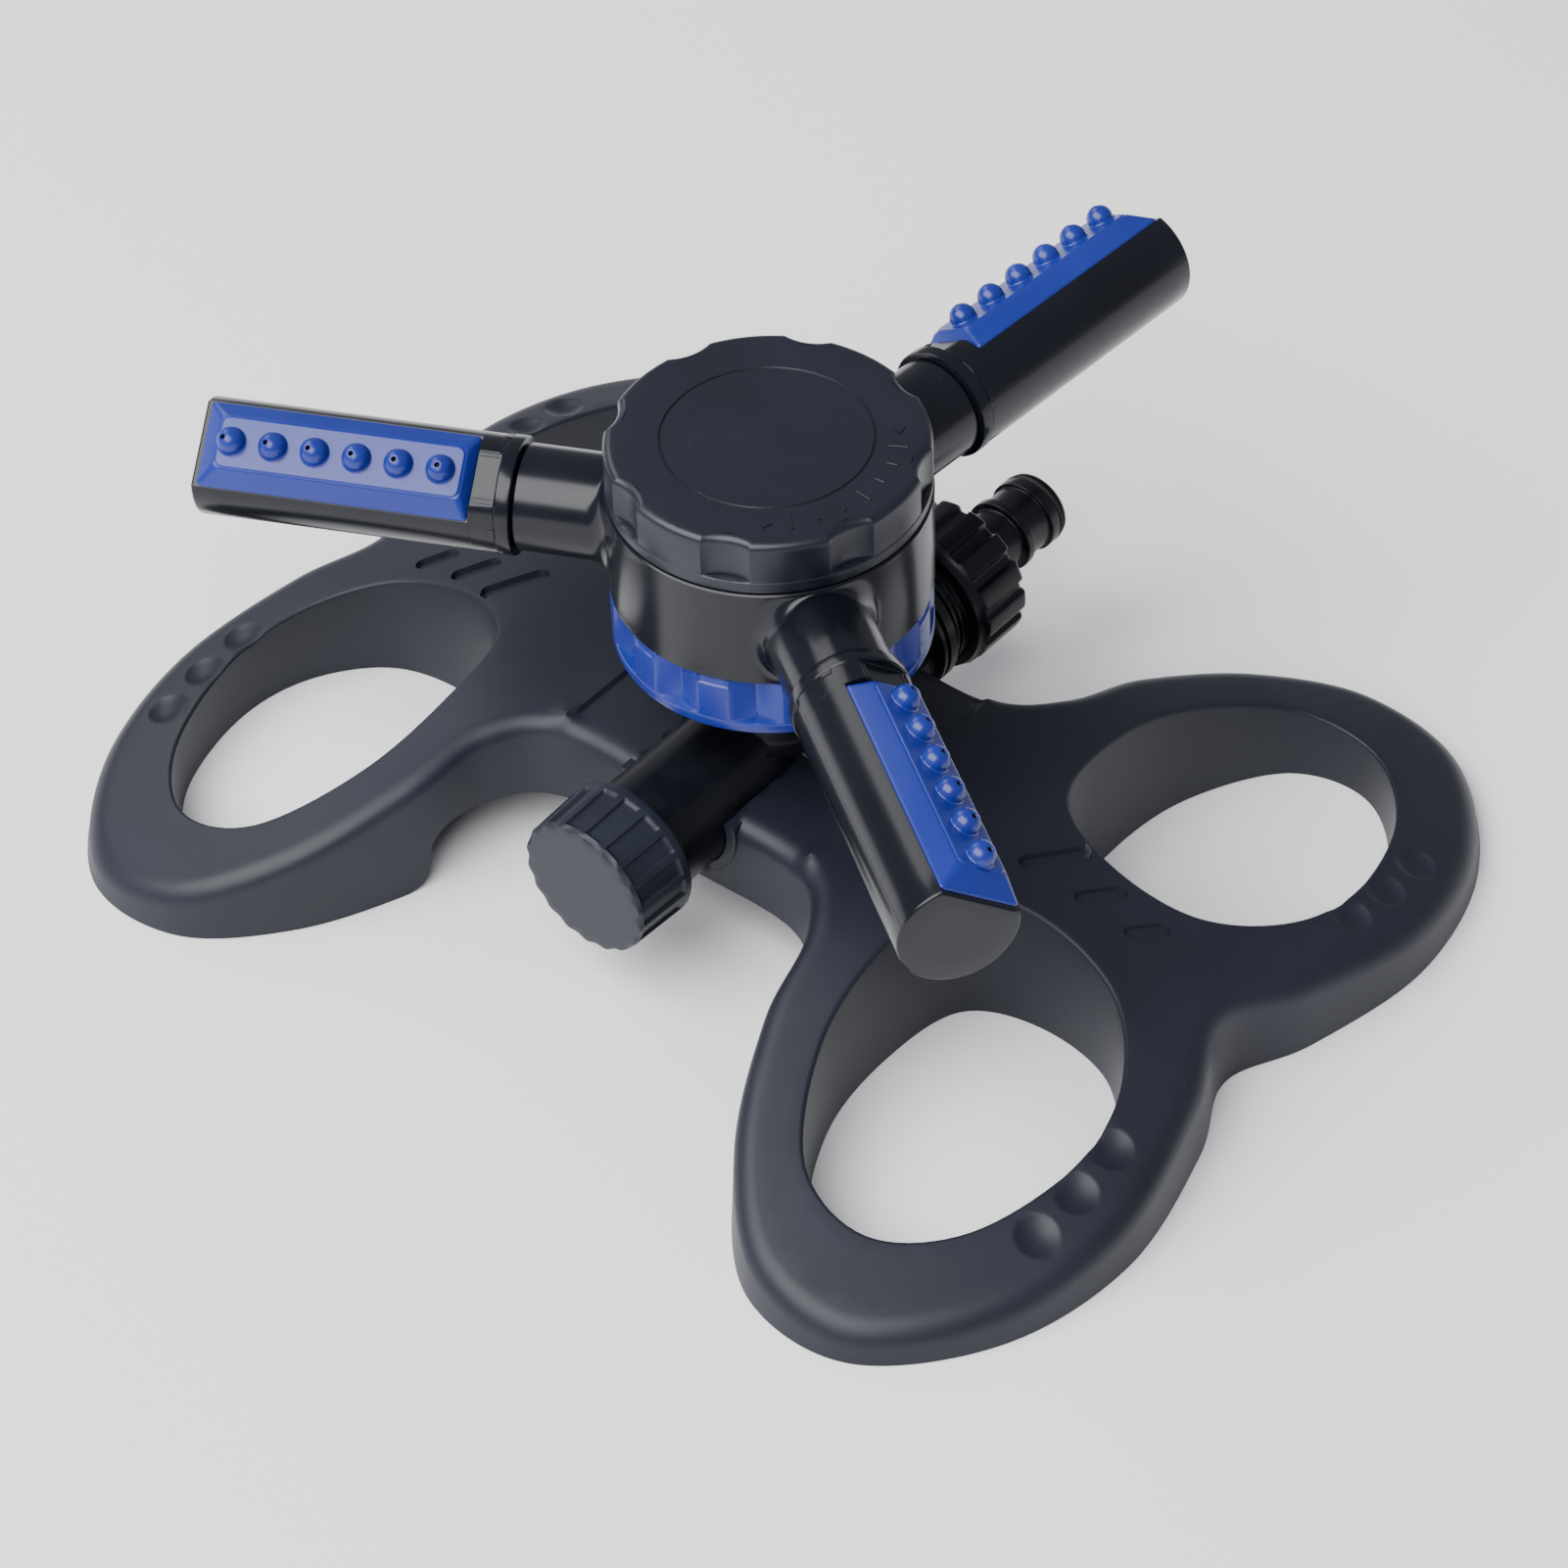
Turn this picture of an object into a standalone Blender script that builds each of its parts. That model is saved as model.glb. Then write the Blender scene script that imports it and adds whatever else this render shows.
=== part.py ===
"""Three-arm rotary lawn sprinkler on a moulded base with four lobes.

Every size below is in millimetres, and MM turns it to metres when a mesh is made.
The frame: +Z is up, the ground is z = 0 and the rotor turns about the Z axis. The water
pipe runs along Y, with its closed end at -Y and the hose inlet at +Y.
"""

import math

import bmesh
import bpy
from mathutils import Vector
from mathutils.geometry import delaunay_2d_cdt

MM = 0.001

# Clearances
FIT_GAP = 0.3          # between pieces that rest on or in each other
TURN_GAP = 0.3         # between pieces that turn on each other

# Base shell: one quadrant of its outline, from the X axis round to the Y axis
BASE_OUTLINE = [(127.5, 0), (136, 21), (142.5, 55), (135, 88), (113, 112.5), (86, 113), (65, 94),
                (52, 68), (46.5, 47), (33, 35.5), (0, 35.5)]
LOBE_HOLE = [(124.5, 53), (117, 78), (101, 92), (82, 88), (68.5, 66), (65, 42), (69, 20),
             (86, 12.5), (107, 16), (121, 32)]
DECK_HEIGHT = 38.0     # top of the flat middle
DECK_RADIUS = 64.0     # where the top starts to fall away
TOP_SLOPE = 0.335      # fall of the top per millimetre outwards
TOP_STRETCH = (0.88, 1.06)   # how much X and Y count in that distance: it falls faster along Y
TOP_SOFTNESS = 6.0     # how gradually the fall starts
SHELL_WALL = 2.4
SHOULDER_WIDTH = 5.0   # rounded edge between top and outer wall
SHOULDER_DROP = 4.2
SHELL_DRAFT = 0.8
ARCH_HEIGHT = 16.5     # clear height under the two walls that the pipe crosses
ARCH_END = 68.0        # how far along Y the arch reaches
ARCH_RAMP = 6.0
TOP_GRID = 21.0        # spacing of the points that let the top curve
HUB_RADIUS = 11.0      # post from the trough to the ground
RIB_HALF_LENGTH = 54.0
RIB_WALL = 2.4
BOSS_RADIUS = 4.2
BOSS_DEPTH = 15.0

# Water pipe with its upright neck
PIPE_AXIS_HEIGHT = DECK_HEIGHT - 5.0
PIPE_RADIUS = 14.2
PIPE_BORE = 9.5
PIPE_CLOSED_END = -62.0
PIPE_OPEN_END = 64.0
COLLAR_START = 40.0
COLLAR_END = 46.0
COLLAR_RADIUS = PIPE_RADIUS + 2.4
THREAD_RADIUS = PIPE_RADIUS + 1.0
THREAD_DEPTH = 0.6
CAP_THREAD_RADIUS = PIPE_RADIUS - 1.2
CAP_THREAD_LENGTH = 12.5
NECK_RADIUS = PIPE_RADIUS + 2.8
NECK_TOP = DECK_HEIGHT + 19.0
NECK_SOCKET_DEPTH = 12.0
RISER_BORE = 7.0
SCREW_X = NECK_RADIUS + 8.0
EAR_REACH = SCREW_X + 6.0   # the two ears that the screws hold
EAR_HALF_WIDTH = 11.0
EAR_THICKNESS = 4.0
SCREW_Y = 6.5
SCREW_SHANK = 1.7
SCREW_HEAD = 3.6
SCREW_HEAD_HEIGHT = 2.4
SCREW_LENGTH = 14.0

# End cap and its washer
END_CAP_RADIUS = PIPE_RADIUS + 3.3
END_CAP_FACE_RADIUS = END_CAP_RADIUS - 0.8
END_CAP_LENGTH = 17.0
END_CAP_FLOOR = 3.0
WASHER_THICKNESS = 1.2

# Inlet nut, hose nipple and screen
NUT_START = 52.0
NUT_END = PIPE_OPEN_END + 5.5
NUT_RADIUS = THREAD_RADIUS + 3.4
NUT_NEAR_RADIUS = NUT_RADIUS - 1.0
NUT_FLOOR = 2.0
NUT_RIBS = 14
NUT_RIB_DEPTH = 0.9
NIPPLE_STOP = 9.2
NIPPLE_NECK = NIPPLE_STOP - 1.6
NIPPLE_BODY = NIPPLE_STOP - 0.9
NIPPLE_BORE = 5.2
NIPPLE_STOP_FROM_NUT = 12.6   # distances along the nipple, from the nut's far end
NIPPLE_STOP_WIDTH = 2.4
NIPPLE_RING_FROM_NUT = 21.6
NIPPLE_RING_WIDTH = 3.0
NIPPLE_GROOVE_WIDTH = 1.8
NIPPLE_TIP_FROM_NUT = 27.6
SCREEN_THICKNESS = 1.2
SCREEN_HOLE = 1.5

# Hollow spindle that the rotor turns on
SPINDLE_RADIUS = 7.0
SPINDLE_BORE = SPINDLE_RADIUS - 2.2
SPINDLE_FLANGE_RADIUS = SPINDLE_RADIUS + 5.5
SPINDLE_FLANGE_THICKNESS = 2.0
SPINDLE_TAIL_RADIUS = SPINDLE_RADIUS + 2.0
SPINDLE_PORT_HEIGHT = 9.0
SPINDLE_PORT_WIDTH = 6.0
O_RING_WIDTH = 1.8
THRUST_WASHER = 1.2
BUSH_WALL = 1.2
CLIP_THICKNESS = 1.4
CLIP_RADIUS = SPINDLE_RADIUS + 4.0
CLIP_GROOVE = 1.0

# Rotor: housing, blue collar and cap
ROTOR_RADIUS = 36.0
ROTOR_WALL = 2.6
ROTOR_BOTTOM = NECK_TOP + 22.3
ROTOR_TOP = ROTOR_BOTTOM + 25.7
SPINDLE_TOP = ROTOR_TOP - 5.0
HUB_TUBE_WALL = 2.4
HUB_TUBE_BOTTOM = NECK_TOP + 9.0
SKIRT_RADIUS = ROTOR_RADIUS - 5.0
COLLAR_BOTTOM = NECK_TOP + 7.5
SKIRT_BOTTOM = COLLAR_BOTTOM + 2.5
COLLAR_POCKETS = 12
COLLAR_POCKET_FIRST = 4.0  # degrees from +X to the middle of the first pocket
COLLAR_POCKET_HALF = 9.5
COLLAR_POCKET_DEPTH = 2.0
COLLAR_POCKET_FLOOR = 3.0
CAP_RADIUS = ROTOR_RADIUS - 0.3
CAP_TOP = ROTOR_TOP + 14.0
CAP_WALL = 2.8
CAP_EDGE = 2.0
CAP_SPIGOT_DEPTH = 5.0
CAP_SCALLOPS = 8
CAP_SCALLOP_FIRST = 25.0   # degrees from +X to the middle of the first scallop
CAP_SCALLOP_DEPTH = 1.7
CAP_SCALLOP_RADIUS = 12.0
CAP_SCALLOP_FLOOR = 3.0

# Arms
ARM_COUNT = 3
ARM_FIRST_ANGLE = 87.0     # degrees from +X
ARM_HEIGHT = ROTOR_BOTTOM + 13.0
ARM_TILT = 33.0            # degrees that the nozzles lean forward from straight up
STUB_RADIUS = 12.2
STUB_END = ROTOR_RADIUS + 19.5
SLEEVE_START = STUB_END + 0.5
SLEEVE_END = SLEEVE_START + 73.0
SLEEVE_RADIUS = 13.2
SLEEVE_CHAMBER = 5.6
SLEEVE_END_WALL = 2.5
JOURNAL_RADIUS = SLEEVE_RADIUS - 3.6
JOURNAL_END = STUB_END + 7.9
JOURNAL_BORE = JOURNAL_RADIUS - 3.0
LIP_END = SLEEVE_START + 3.4
STEP_HEIGHT = SLEEVE_RADIUS - 1.8      # distance of the first, shallow flat from the arm's axis
FLAT_HEIGHT = SLEEVE_RADIUS - 4.3      # distance of the flat that carries the plate
PLATE_START = SLEEVE_START + 9.5
PLATE_END = SLEEVE_END - 1.4
PLATE_WIDTH = 2 * math.sqrt(SLEEVE_RADIUS ** 2 - FLAT_HEIGHT ** 2) + 0.1   # the flat's own width
PLATE_THICKNESS = 1.8
PLATE_RIM = 0.4            # how far the plate's rim stands above the flat
PLATE_RISE = 4.2           # the same for its raised middle
PLATE_SIDE_BEVEL = 3.6     # width of the slope from rim to middle along the sides
PLATE_NEAR_BEVEL = 1.6     # the same at the end by the hub
PLATE_FAR_BEVEL = 4.0      # and at the far end
WATER_SLOT_WIDTH = 9.0
NOZZLE_COUNT = 6
NOZZLE_FIRST = PLATE_START + 6.8
NOZZLE_PITCH = (PLATE_END - 7.35 - NOZZLE_FIRST) / (NOZZLE_COUNT - 1)
DOME_RADIUS = 3.2
DOME_HEIGHT = 4.0
DOME_SINK = 0.5            # how deep each dome reaches into the plate
DOME_WALL = 1.4            # height of a dome's straight side
SNAP_RING_WIDTH = 1.2
SNAP_GROOVE_DEPTH = 0.9
ARM_RING_PLACE = STUB_END + 2.9
SNAP_RING_PLACE = STUB_END + 6.1

ROUND = 36                 # sides of a large round piece
ROUND_MIDDLE = 24          # sides of the pipe, the neck and the fittings on them
ROUND_SMALL = 18           # sides of a small one
ROUND_LEAST = 10           # sides of a screw, a dome or a narrow bore

TOOLS = []                 # cutters and other helper shapes, hidden at the end


def clear_scene():
    for obj in list(bpy.data.objects):
        bpy.data.objects.remove(obj, do_unlink=True)


def make_material(name, colour, roughness, metallic=0.0):
    material = bpy.data.materials.new(name)
    material.use_nodes = True
    shader = material.node_tree.nodes["Principled BSDF"]
    shader.inputs["Base Color"].default_value = (*colour, 1.0)
    shader.inputs["Roughness"].default_value = roughness
    shader.inputs["Metallic"].default_value = metallic
    return material


def make_object(name, shape, material=None, parent=None, tool=False):
    """Turns a bmesh in millimetres into an object in metres."""
    bmesh.ops.remove_doubles(shape, verts=shape.verts, dist=1e-4)
    bmesh.ops.recalc_face_normals(shape, faces=shape.faces)
    bmesh.ops.scale(shape, vec=(MM, MM, MM), verts=shape.verts)
    mesh = bpy.data.meshes.new(name)
    shape.to_mesh(mesh)
    shape.free()
    if material:
        mesh.materials.append(material)
    mesh.shade_smooth()
    mesh.set_sharp_from_angle(angle=math.radians(35))
    obj = bpy.data.objects.new(name, mesh)
    bpy.context.scene.collection.objects.link(obj)
    if parent:
        obj.parent = parent
    if tool:
        TOOLS.append(obj)
    return obj


def make_empty(name, place, turn=(0.0, 0.0, 0.0)):
    empty = bpy.data.objects.new(name, None)
    empty.location = Vector(place) * MM
    empty.rotation_euler = turn
    bpy.context.scene.collection.objects.link(empty)
    return empty


def on_axis(axis, radius, angle, along):
    """A point at a radius and angle round the axis, and a distance along it."""
    first = radius * math.cos(angle)
    second = radius * math.sin(angle)
    return {"Z": (first, second, along), "X": (along, first, second), "Y": (second, along, first)}[axis]


def turned(profile, sides=ROUND, axis="Z", height=0.0):
    """A solid turned from a closed outline of (radius, distance along the axis)."""
    shape = bmesh.new()
    rings = []
    for radius, along in profile:
        count = sides if radius > 0 else 1
        ring = []
        for step in range(count):
            x, y, z = on_axis(axis, radius, 2 * math.pi * step / sides, along)
            ring.append(shape.verts.new((x, y, z + height)))
        rings.append(ring)
    for low, high in zip(rings, rings[1:] + rings[:1]):
        if len(low) == 1 and len(high) == 1:
            continue
        for step in range(sides):
            corners = [low[step % len(low)], low[(step + 1) % len(low)],
                       high[(step + 1) % len(high)], high[step % len(high)]]
            shape.faces.new(list(dict.fromkeys(corners)))
    return shape


def tube(inner, outer, start, end, sides=ROUND, axis="Z", height=0.0):
    """A ring, or a plain cylinder where inner is 0."""
    return turned([(inner, start), (outer, start), (outer, end), (inner, end)], sides, axis, height)


def round_ring(middle, width, along, sides=ROUND_SMALL, axis="Z", height=0.0):
    """An O-ring with a six-sided section."""
    section = [(middle + width / 2 * math.cos(math.pi * step / 3), along + width / 2 * math.sin(math.pi * step / 3))
               for step in range(6)]
    return turned(section, sides, axis, height)


def prism(outline, low, high):
    """A flat outline in X and Y, raised from one height to another."""
    shape = bmesh.new()
    bottom = [shape.verts.new((x, y, low)) for x, y in outline]
    top = [shape.verts.new((x, y, high)) for x, y in outline]
    shape.faces.new(bottom[::-1])
    shape.faces.new(top)
    for step in range(len(outline)):
        following = (step + 1) % len(outline)
        shape.faces.new((bottom[step], bottom[following], top[following], top[step]))
    return shape


def box(low, high):
    return prism([(low[0], low[1]), (high[0], low[1]), (high[0], high[1]), (low[0], high[1])], low[2], high[2])


def change(target, operation, shape, name, parent=None):
    """Adds a Boolean of a new helper shape to an object."""
    tool = make_object(name, shape, parent=parent, tool=True)
    modifier = target.modifiers.new(name, "BOOLEAN")
    modifier.operation = operation
    modifier.object = tool
    return tool


def smooth_loop(points, samples):
    """A closed curve through the points, as a Catmull-Rom spline."""
    loop = []
    count = len(points)
    for index in range(count):
        before, start, end, after = (Vector(points[(index + shift) % count]) for shift in (-1, 0, 1, 2))
        for step in range(samples):
            t = step / samples
            loop.append(0.5 * (2 * start + (end - before) * t + (2 * before - 5 * start + 4 * end - after) * t ** 2
                               + (3 * start - before - 3 * end + after) * t ** 3))
    return loop


def inset_loop(loop, distance):
    """Moves each point of a counter-clockwise loop towards its inside."""
    moved = []
    for index, point in enumerate(loop):
        along = (loop[(index + 1) % len(loop)] - loop[index - 1]).normalized()
        moved.append(point + Vector((-along.y, along.x)) * distance)
    return moved


def inside(point, loop):
    crossings = False
    for a, b in zip(loop, loop[1:] + loop[:1]):
        if (a.y > point[1]) != (b.y > point[1]):
            if point[0] < (b.x - a.x) * (point[1] - a.y) / (b.y - a.y) + a.x:
                crossings = not crossings
    return crossings


def mirrored_outline():
    """The whole outline of the base, counter-clockwise, from its one quadrant."""
    upper = BASE_OUTLINE + [(-x, y) for x, y in reversed(BASE_OUTLINE[:-1])]
    return upper + [(x, -y) for x, y in reversed(upper[1:-1])]


def lobe_holes():
    """The four holes as counter-clockwise loops of control points."""
    holes = []
    for sign_x, sign_y in ((1, 1), (-1, 1), (-1, -1), (1, -1)):
        hole = [(x * sign_x, y * sign_y) for x, y in LOBE_HOLE]
        area = sum(a[0] * b[1] - b[0] * a[1] for a, b in zip(hole, hole[1:] + hole[:1]))
        holes.append(hole if area > 0 else hole[::-1])
    return holes


def top_height(point):
    """Height of the base's top: a flat middle that falls away towards the lobes."""
    beyond = math.hypot(point[0] * TOP_STRETCH[0], point[1] * TOP_STRETCH[1]) - DECK_RADIUS
    return DECK_HEIGHT - TOP_SLOPE * TOP_SOFTNESS * math.log1p(math.exp(beyond / TOP_SOFTNESS))


def bottom_height(point):
    """Height of the outer wall's lower edge, which arches up where the pipe crosses."""
    ramp = (ARCH_END - abs(point[1])) / ARCH_RAMP if abs(point[0]) < ARCH_END else 0.0
    ramp = min(1.0, max(0.0, ramp))
    return ARCH_HEIGHT * ramp * ramp * (3 - 2 * ramp)


def ring_faces(shape, first, second):
    for index in range(len(first)):
        following = (index + 1) % len(first)
        shape.faces.new((first[index], first[following], second[following], second[index]))


def fill_top(shape, outer, holes, height):
    """Triangles between an outer loop of vertices and the holes, with inner points that let the top curve."""
    loops = [outer] + holes
    places = [Vector((vert.co.x, vert.co.y)) for loop in loops for vert in loop]
    edges = []
    start = 0
    for loop in loops:
        edges += [(start + step, start + (step + 1) % len(loop)) for step in range(len(loop))]
        start += len(loop)
    borders = [[Vector((vert.co.x, vert.co.y)) for vert in loop] for loop in loops]
    reach = int(150 / TOP_GRID)
    for column in range(-reach, reach + 1):
        for row in range(-reach, reach + 1):
            point = Vector((column * TOP_GRID, row * TOP_GRID))
            clear = min((point - place).length for place in places[:start]) > TOP_GRID * 0.45
            if clear and inside(point, borders[0]) and not any(inside(point, hole) for hole in borders[1:]):
                places.append(point)
    out_places, _, faces, originals, _, _ = delaunay_2d_cdt(places, edges, [], 1, 1e-5)
    known = [vert for loop in loops for vert in loop]
    verts = []
    for place, sources in zip(out_places, originals):
        if sources and sources[0] < len(known):
            verts.append(known[sources[0]])
        else:
            verts.append(shape.verts.new((place.x, place.y, height(place))))
    for face in faces:
        middle = sum((out_places[index] for index in face), Vector((0, 0))) / 3
        if inside(middle, borders[0]) and not any(inside(middle, hole) for hole in borders[1:]):
            shape.faces.new([verts[index] for index in face])
    for vert in [vert for vert in verts if not vert.link_faces]:
        if vert not in known:
            shape.verts.remove(vert)


def base_skin(shape, outline, holes, depth):
    """One skin of the shell, its outer one at depth 0 and its inner one a wall below it."""
    def raise_loop(loop, inset, height):
        return [shape.verts.new((point.x, point.y, height(point))) for point in inset_loop(loop, inset)]

    def under(drop):
        return lambda point: top_height(point) - drop

    rim = raise_loop(outline, depth, bottom_height)
    edge = raise_loop(outline, depth + SHELL_DRAFT, under(SHOULDER_DROP + depth / 2))
    brow = raise_loop(outline, depth * 0.6 + SHOULDER_WIDTH, under(depth))
    ring_faces(shape, rim, edge)
    ring_faces(shape, edge, brow)
    hole_rims = []
    hole_brows = []
    for hole in holes:
        low = raise_loop(hole, -depth, lambda point: 0.0)
        high = raise_loop(hole, -depth - SHELL_DRAFT / 2, under(depth))
        ring_faces(shape, high, low)
        hole_rims.append(low)
        hole_brows.append(high)
    fill_top(shape, brow, hole_brows, under(depth))
    return rim, hole_rims


def make_base_shell(material):
    outline = smooth_loop(mirrored_outline(), 2)
    holes = [smooth_loop(hole, 2) for hole in lobe_holes()]
    shape = bmesh.new()
    outer_rim, outer_holes = base_skin(shape, outline, holes, 0.0)
    inner_rim, inner_holes = base_skin(shape, outline, holes, SHELL_WALL)
    ring_faces(shape, outer_rim, inner_rim)
    for first, second in zip(outer_holes, inner_holes):
        ring_faces(shape, first, second)
    shell = make_object("base_shell", shape, material)

    trough_radius = PIPE_RADIUS + FIT_GAP
    half = BASE_OUTLINE[-1][1]
    cradle = tube(0, trough_radius + SHELL_WALL, -half, half, ROUND_MIDDLE, "Y", PIPE_AXIS_HEIGHT)
    tool = change(shell, "UNION", cradle, "trough_bar")
    above = box((-2 * trough_radius, -half - 5, DECK_HEIGHT - 0.5), (2 * trough_radius, half + 5, DECK_HEIGHT + 30))
    change(tool, "DIFFERENCE", above, "trough_trim")
    trough_floor = PIPE_AXIS_HEIGHT - trough_radius - SHELL_WALL
    change(shell, "UNION", tube(0, HUB_RADIUS, 0, trough_floor + 2, ROUND_MIDDLE), "hub_post")
    rib = box((-RIB_HALF_LENGTH, -RIB_WALL / 2, 2), (RIB_HALF_LENGTH, RIB_WALL / 2, DECK_HEIGHT - 1))
    change(shell, "UNION", rib, "cross_rib")
    for index, (x, y) in enumerate(screw_places()):
        boss = tube(0, BOSS_RADIUS, DECK_HEIGHT - BOSS_DEPTH, DECK_HEIGHT - 0.5, ROUND_LEAST)
        bmesh.ops.translate(boss, vec=(x, y, 0), verts=boss.verts)
        change(shell, "UNION", boss, f"screw_boss_{index + 1}")
    for index, (x, y) in enumerate(screw_places()):
        pilot = tube(0, SCREW_SHANK + FIT_GAP, DECK_HEIGHT - BOSS_DEPTH + 1.5, DECK_HEIGHT + 5, ROUND_LEAST)
        bmesh.ops.translate(pilot, vec=(x, y, 0), verts=pilot.verts)
        change(shell, "DIFFERENCE", pilot, f"screw_pilot_{index + 1}")
    change(shell, "DIFFERENCE", tube(0, trough_radius, -2 * half, 2 * half, ROUND_MIDDLE, "Y", PIPE_AXIS_HEIGHT), "trough_cut")
    return shell


def screw_places():
    return [(x, y) for x in (SCREW_X, -SCREW_X) for y in (SCREW_Y, -SCREW_Y)]


def make_manifold(material):
    """The pipe with its threads, its neck and the two ears that hold it down."""
    thread_root = THREAD_RADIUS - THREAD_DEPTH
    profile = [(PIPE_BORE, PIPE_CLOSED_END), (CAP_THREAD_RADIUS, PIPE_CLOSED_END),
               (CAP_THREAD_RADIUS, PIPE_CLOSED_END + CAP_THREAD_LENGTH),
               (PIPE_RADIUS, PIPE_CLOSED_END + CAP_THREAD_LENGTH), (PIPE_RADIUS, COLLAR_START),
               (COLLAR_RADIUS, COLLAR_START + 2), (COLLAR_RADIUS, COLLAR_END),
               (thread_root, COLLAR_END), (thread_root, COLLAR_END + 1),
               (THREAD_RADIUS, COLLAR_END + 1.8), (THREAD_RADIUS, PIPE_OPEN_END), (PIPE_BORE, PIPE_OPEN_END)]
    pipe = make_object("manifold_pipe", turned(profile, ROUND_MIDDLE, "Y", PIPE_AXIS_HEIGHT), material)
    ear_base = DECK_HEIGHT + FIT_GAP
    change(pipe, "UNION", tube(0, NECK_RADIUS, ear_base, NECK_TOP, ROUND_MIDDLE), "neck")
    for side in (1, -1):
        near, far = sorted((side * PIPE_RADIUS * 0.7, side * EAR_REACH))
        ear = box((near, -EAR_HALF_WIDTH, ear_base), (far, EAR_HALF_WIDTH, ear_base + EAR_THICKNESS))
        change(pipe, "UNION", ear, "ear_right" if side > 0 else "ear_left")
    for index, (x, y) in enumerate(screw_places()):
        hole = tube(0, SCREW_SHANK + FIT_GAP, ear_base - 5, ear_base + 10, ROUND_LEAST)
        bmesh.ops.translate(hole, vec=(x, y, 0), verts=hole.verts)
        change(pipe, "DIFFERENCE", hole, f"ear_hole_{index + 1}")
    bore = tube(0, PIPE_BORE, PIPE_CLOSED_END - 5, PIPE_OPEN_END + 5, ROUND_SMALL, "Y", PIPE_AXIS_HEIGHT)
    change(pipe, "DIFFERENCE", bore, "pipe_bore")
    riser = tube(0, RISER_BORE, PIPE_AXIS_HEIGHT, NECK_TOP + 5, ROUND_SMALL)
    change(pipe, "DIFFERENCE", riser, "riser_bore")
    socket = tube(0, SPINDLE_TAIL_RADIUS + FIT_GAP, NECK_TOP - NECK_SOCKET_DEPTH, NECK_TOP + 5, ROUND_SMALL)
    change(pipe, "DIFFERENCE", socket, "spindle_socket")
    return pipe


def make_ear_screw(index, place, material):
    head_base = DECK_HEIGHT + FIT_GAP + EAR_THICKNESS + FIT_GAP
    profile = [(0, head_base - SCREW_LENGTH), (SCREW_SHANK, head_base - SCREW_LENGTH + 2),
               (SCREW_SHANK, head_base), (SCREW_HEAD, head_base), (SCREW_HEAD, head_base + SCREW_HEAD_HEIGHT * 0.5),
               (SCREW_HEAD * 0.6, head_base + SCREW_HEAD_HEIGHT), (0, head_base + SCREW_HEAD_HEIGHT)]
    screw = make_object(f"ear_screw_{index + 1}", turned(profile, ROUND_LEAST), material)
    screw.location = Vector((place[0], place[1], 0)) * MM
    return screw


def make_end_cap(material):
    face = PIPE_CLOSED_END - FIT_GAP - WASHER_THICKNESS - FIT_GAP - END_CAP_FLOOR
    bore = CAP_THREAD_RADIUS + TURN_GAP
    floor = face + END_CAP_FLOOR
    rim = face + END_CAP_LENGTH
    mouth = PIPE_CLOSED_END + CAP_THREAD_LENGTH - FIT_GAP
    profile = [(0, face), (END_CAP_FACE_RADIUS, face), (END_CAP_RADIUS - 0.2, face + 1.2), (END_CAP_RADIUS, rim - 1.5),
               (END_CAP_RADIUS - 0.8, rim), (PIPE_RADIUS + TURN_GAP, rim), (PIPE_RADIUS + TURN_GAP, mouth),
               (bore, mouth), (bore, floor), (0, floor)]
    if rim <= mouth:
        profile = profile[:5] + [(bore, rim)] + profile[8:]
    return make_object("end_cap", turned(profile, ROUND_MIDDLE, "Y", PIPE_AXIS_HEIGHT), material)


def make_end_cap_washer(material):
    end = PIPE_CLOSED_END - FIT_GAP
    shape = tube(PIPE_BORE, CAP_THREAD_RADIUS - FIT_GAP, end - WASHER_THICKNESS, end, ROUND_SMALL, "Y",
                 PIPE_AXIS_HEIGHT)
    return make_object("end_cap_washer", shape, material)


def make_inlet_nut(material):
    bore = THREAD_RADIUS + TURN_GAP
    floor = NUT_END - NUT_FLOOR
    neck_hole = NIPPLE_NECK + TURN_GAP
    sides = NUT_RIBS * 3
    shape = turned([(bore, NUT_START), (NUT_NEAR_RADIUS, NUT_START), (NUT_RADIUS, NUT_START + 2),
                    (NUT_RADIUS, NUT_END - 1), (NUT_RADIUS - 0.8, NUT_END), (neck_hole, NUT_END),
                    (neck_hole, floor), (bore, floor)], sides, "Y", PIPE_AXIS_HEIGHT)
    axis_point = Vector((0, 0, PIPE_AXIS_HEIGHT))
    for vert in shape.verts:
        out = vert.co - axis_point
        out.y = 0
        angle = math.atan2(out.x, out.z) % (2 * math.pi)
        step = round(angle / (2 * math.pi) * sides)
        if out.length > NUT_NEAR_RADIUS - 0.1 and step % 3 == 2:
            vert.co -= out.normalized() * NUT_RIB_DEPTH
    return make_object("inlet_nut", shape, material)


def nipple_flange_start():
    return PIPE_OPEN_END + FIT_GAP + WASHER_THICKNESS + FIT_GAP


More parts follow.
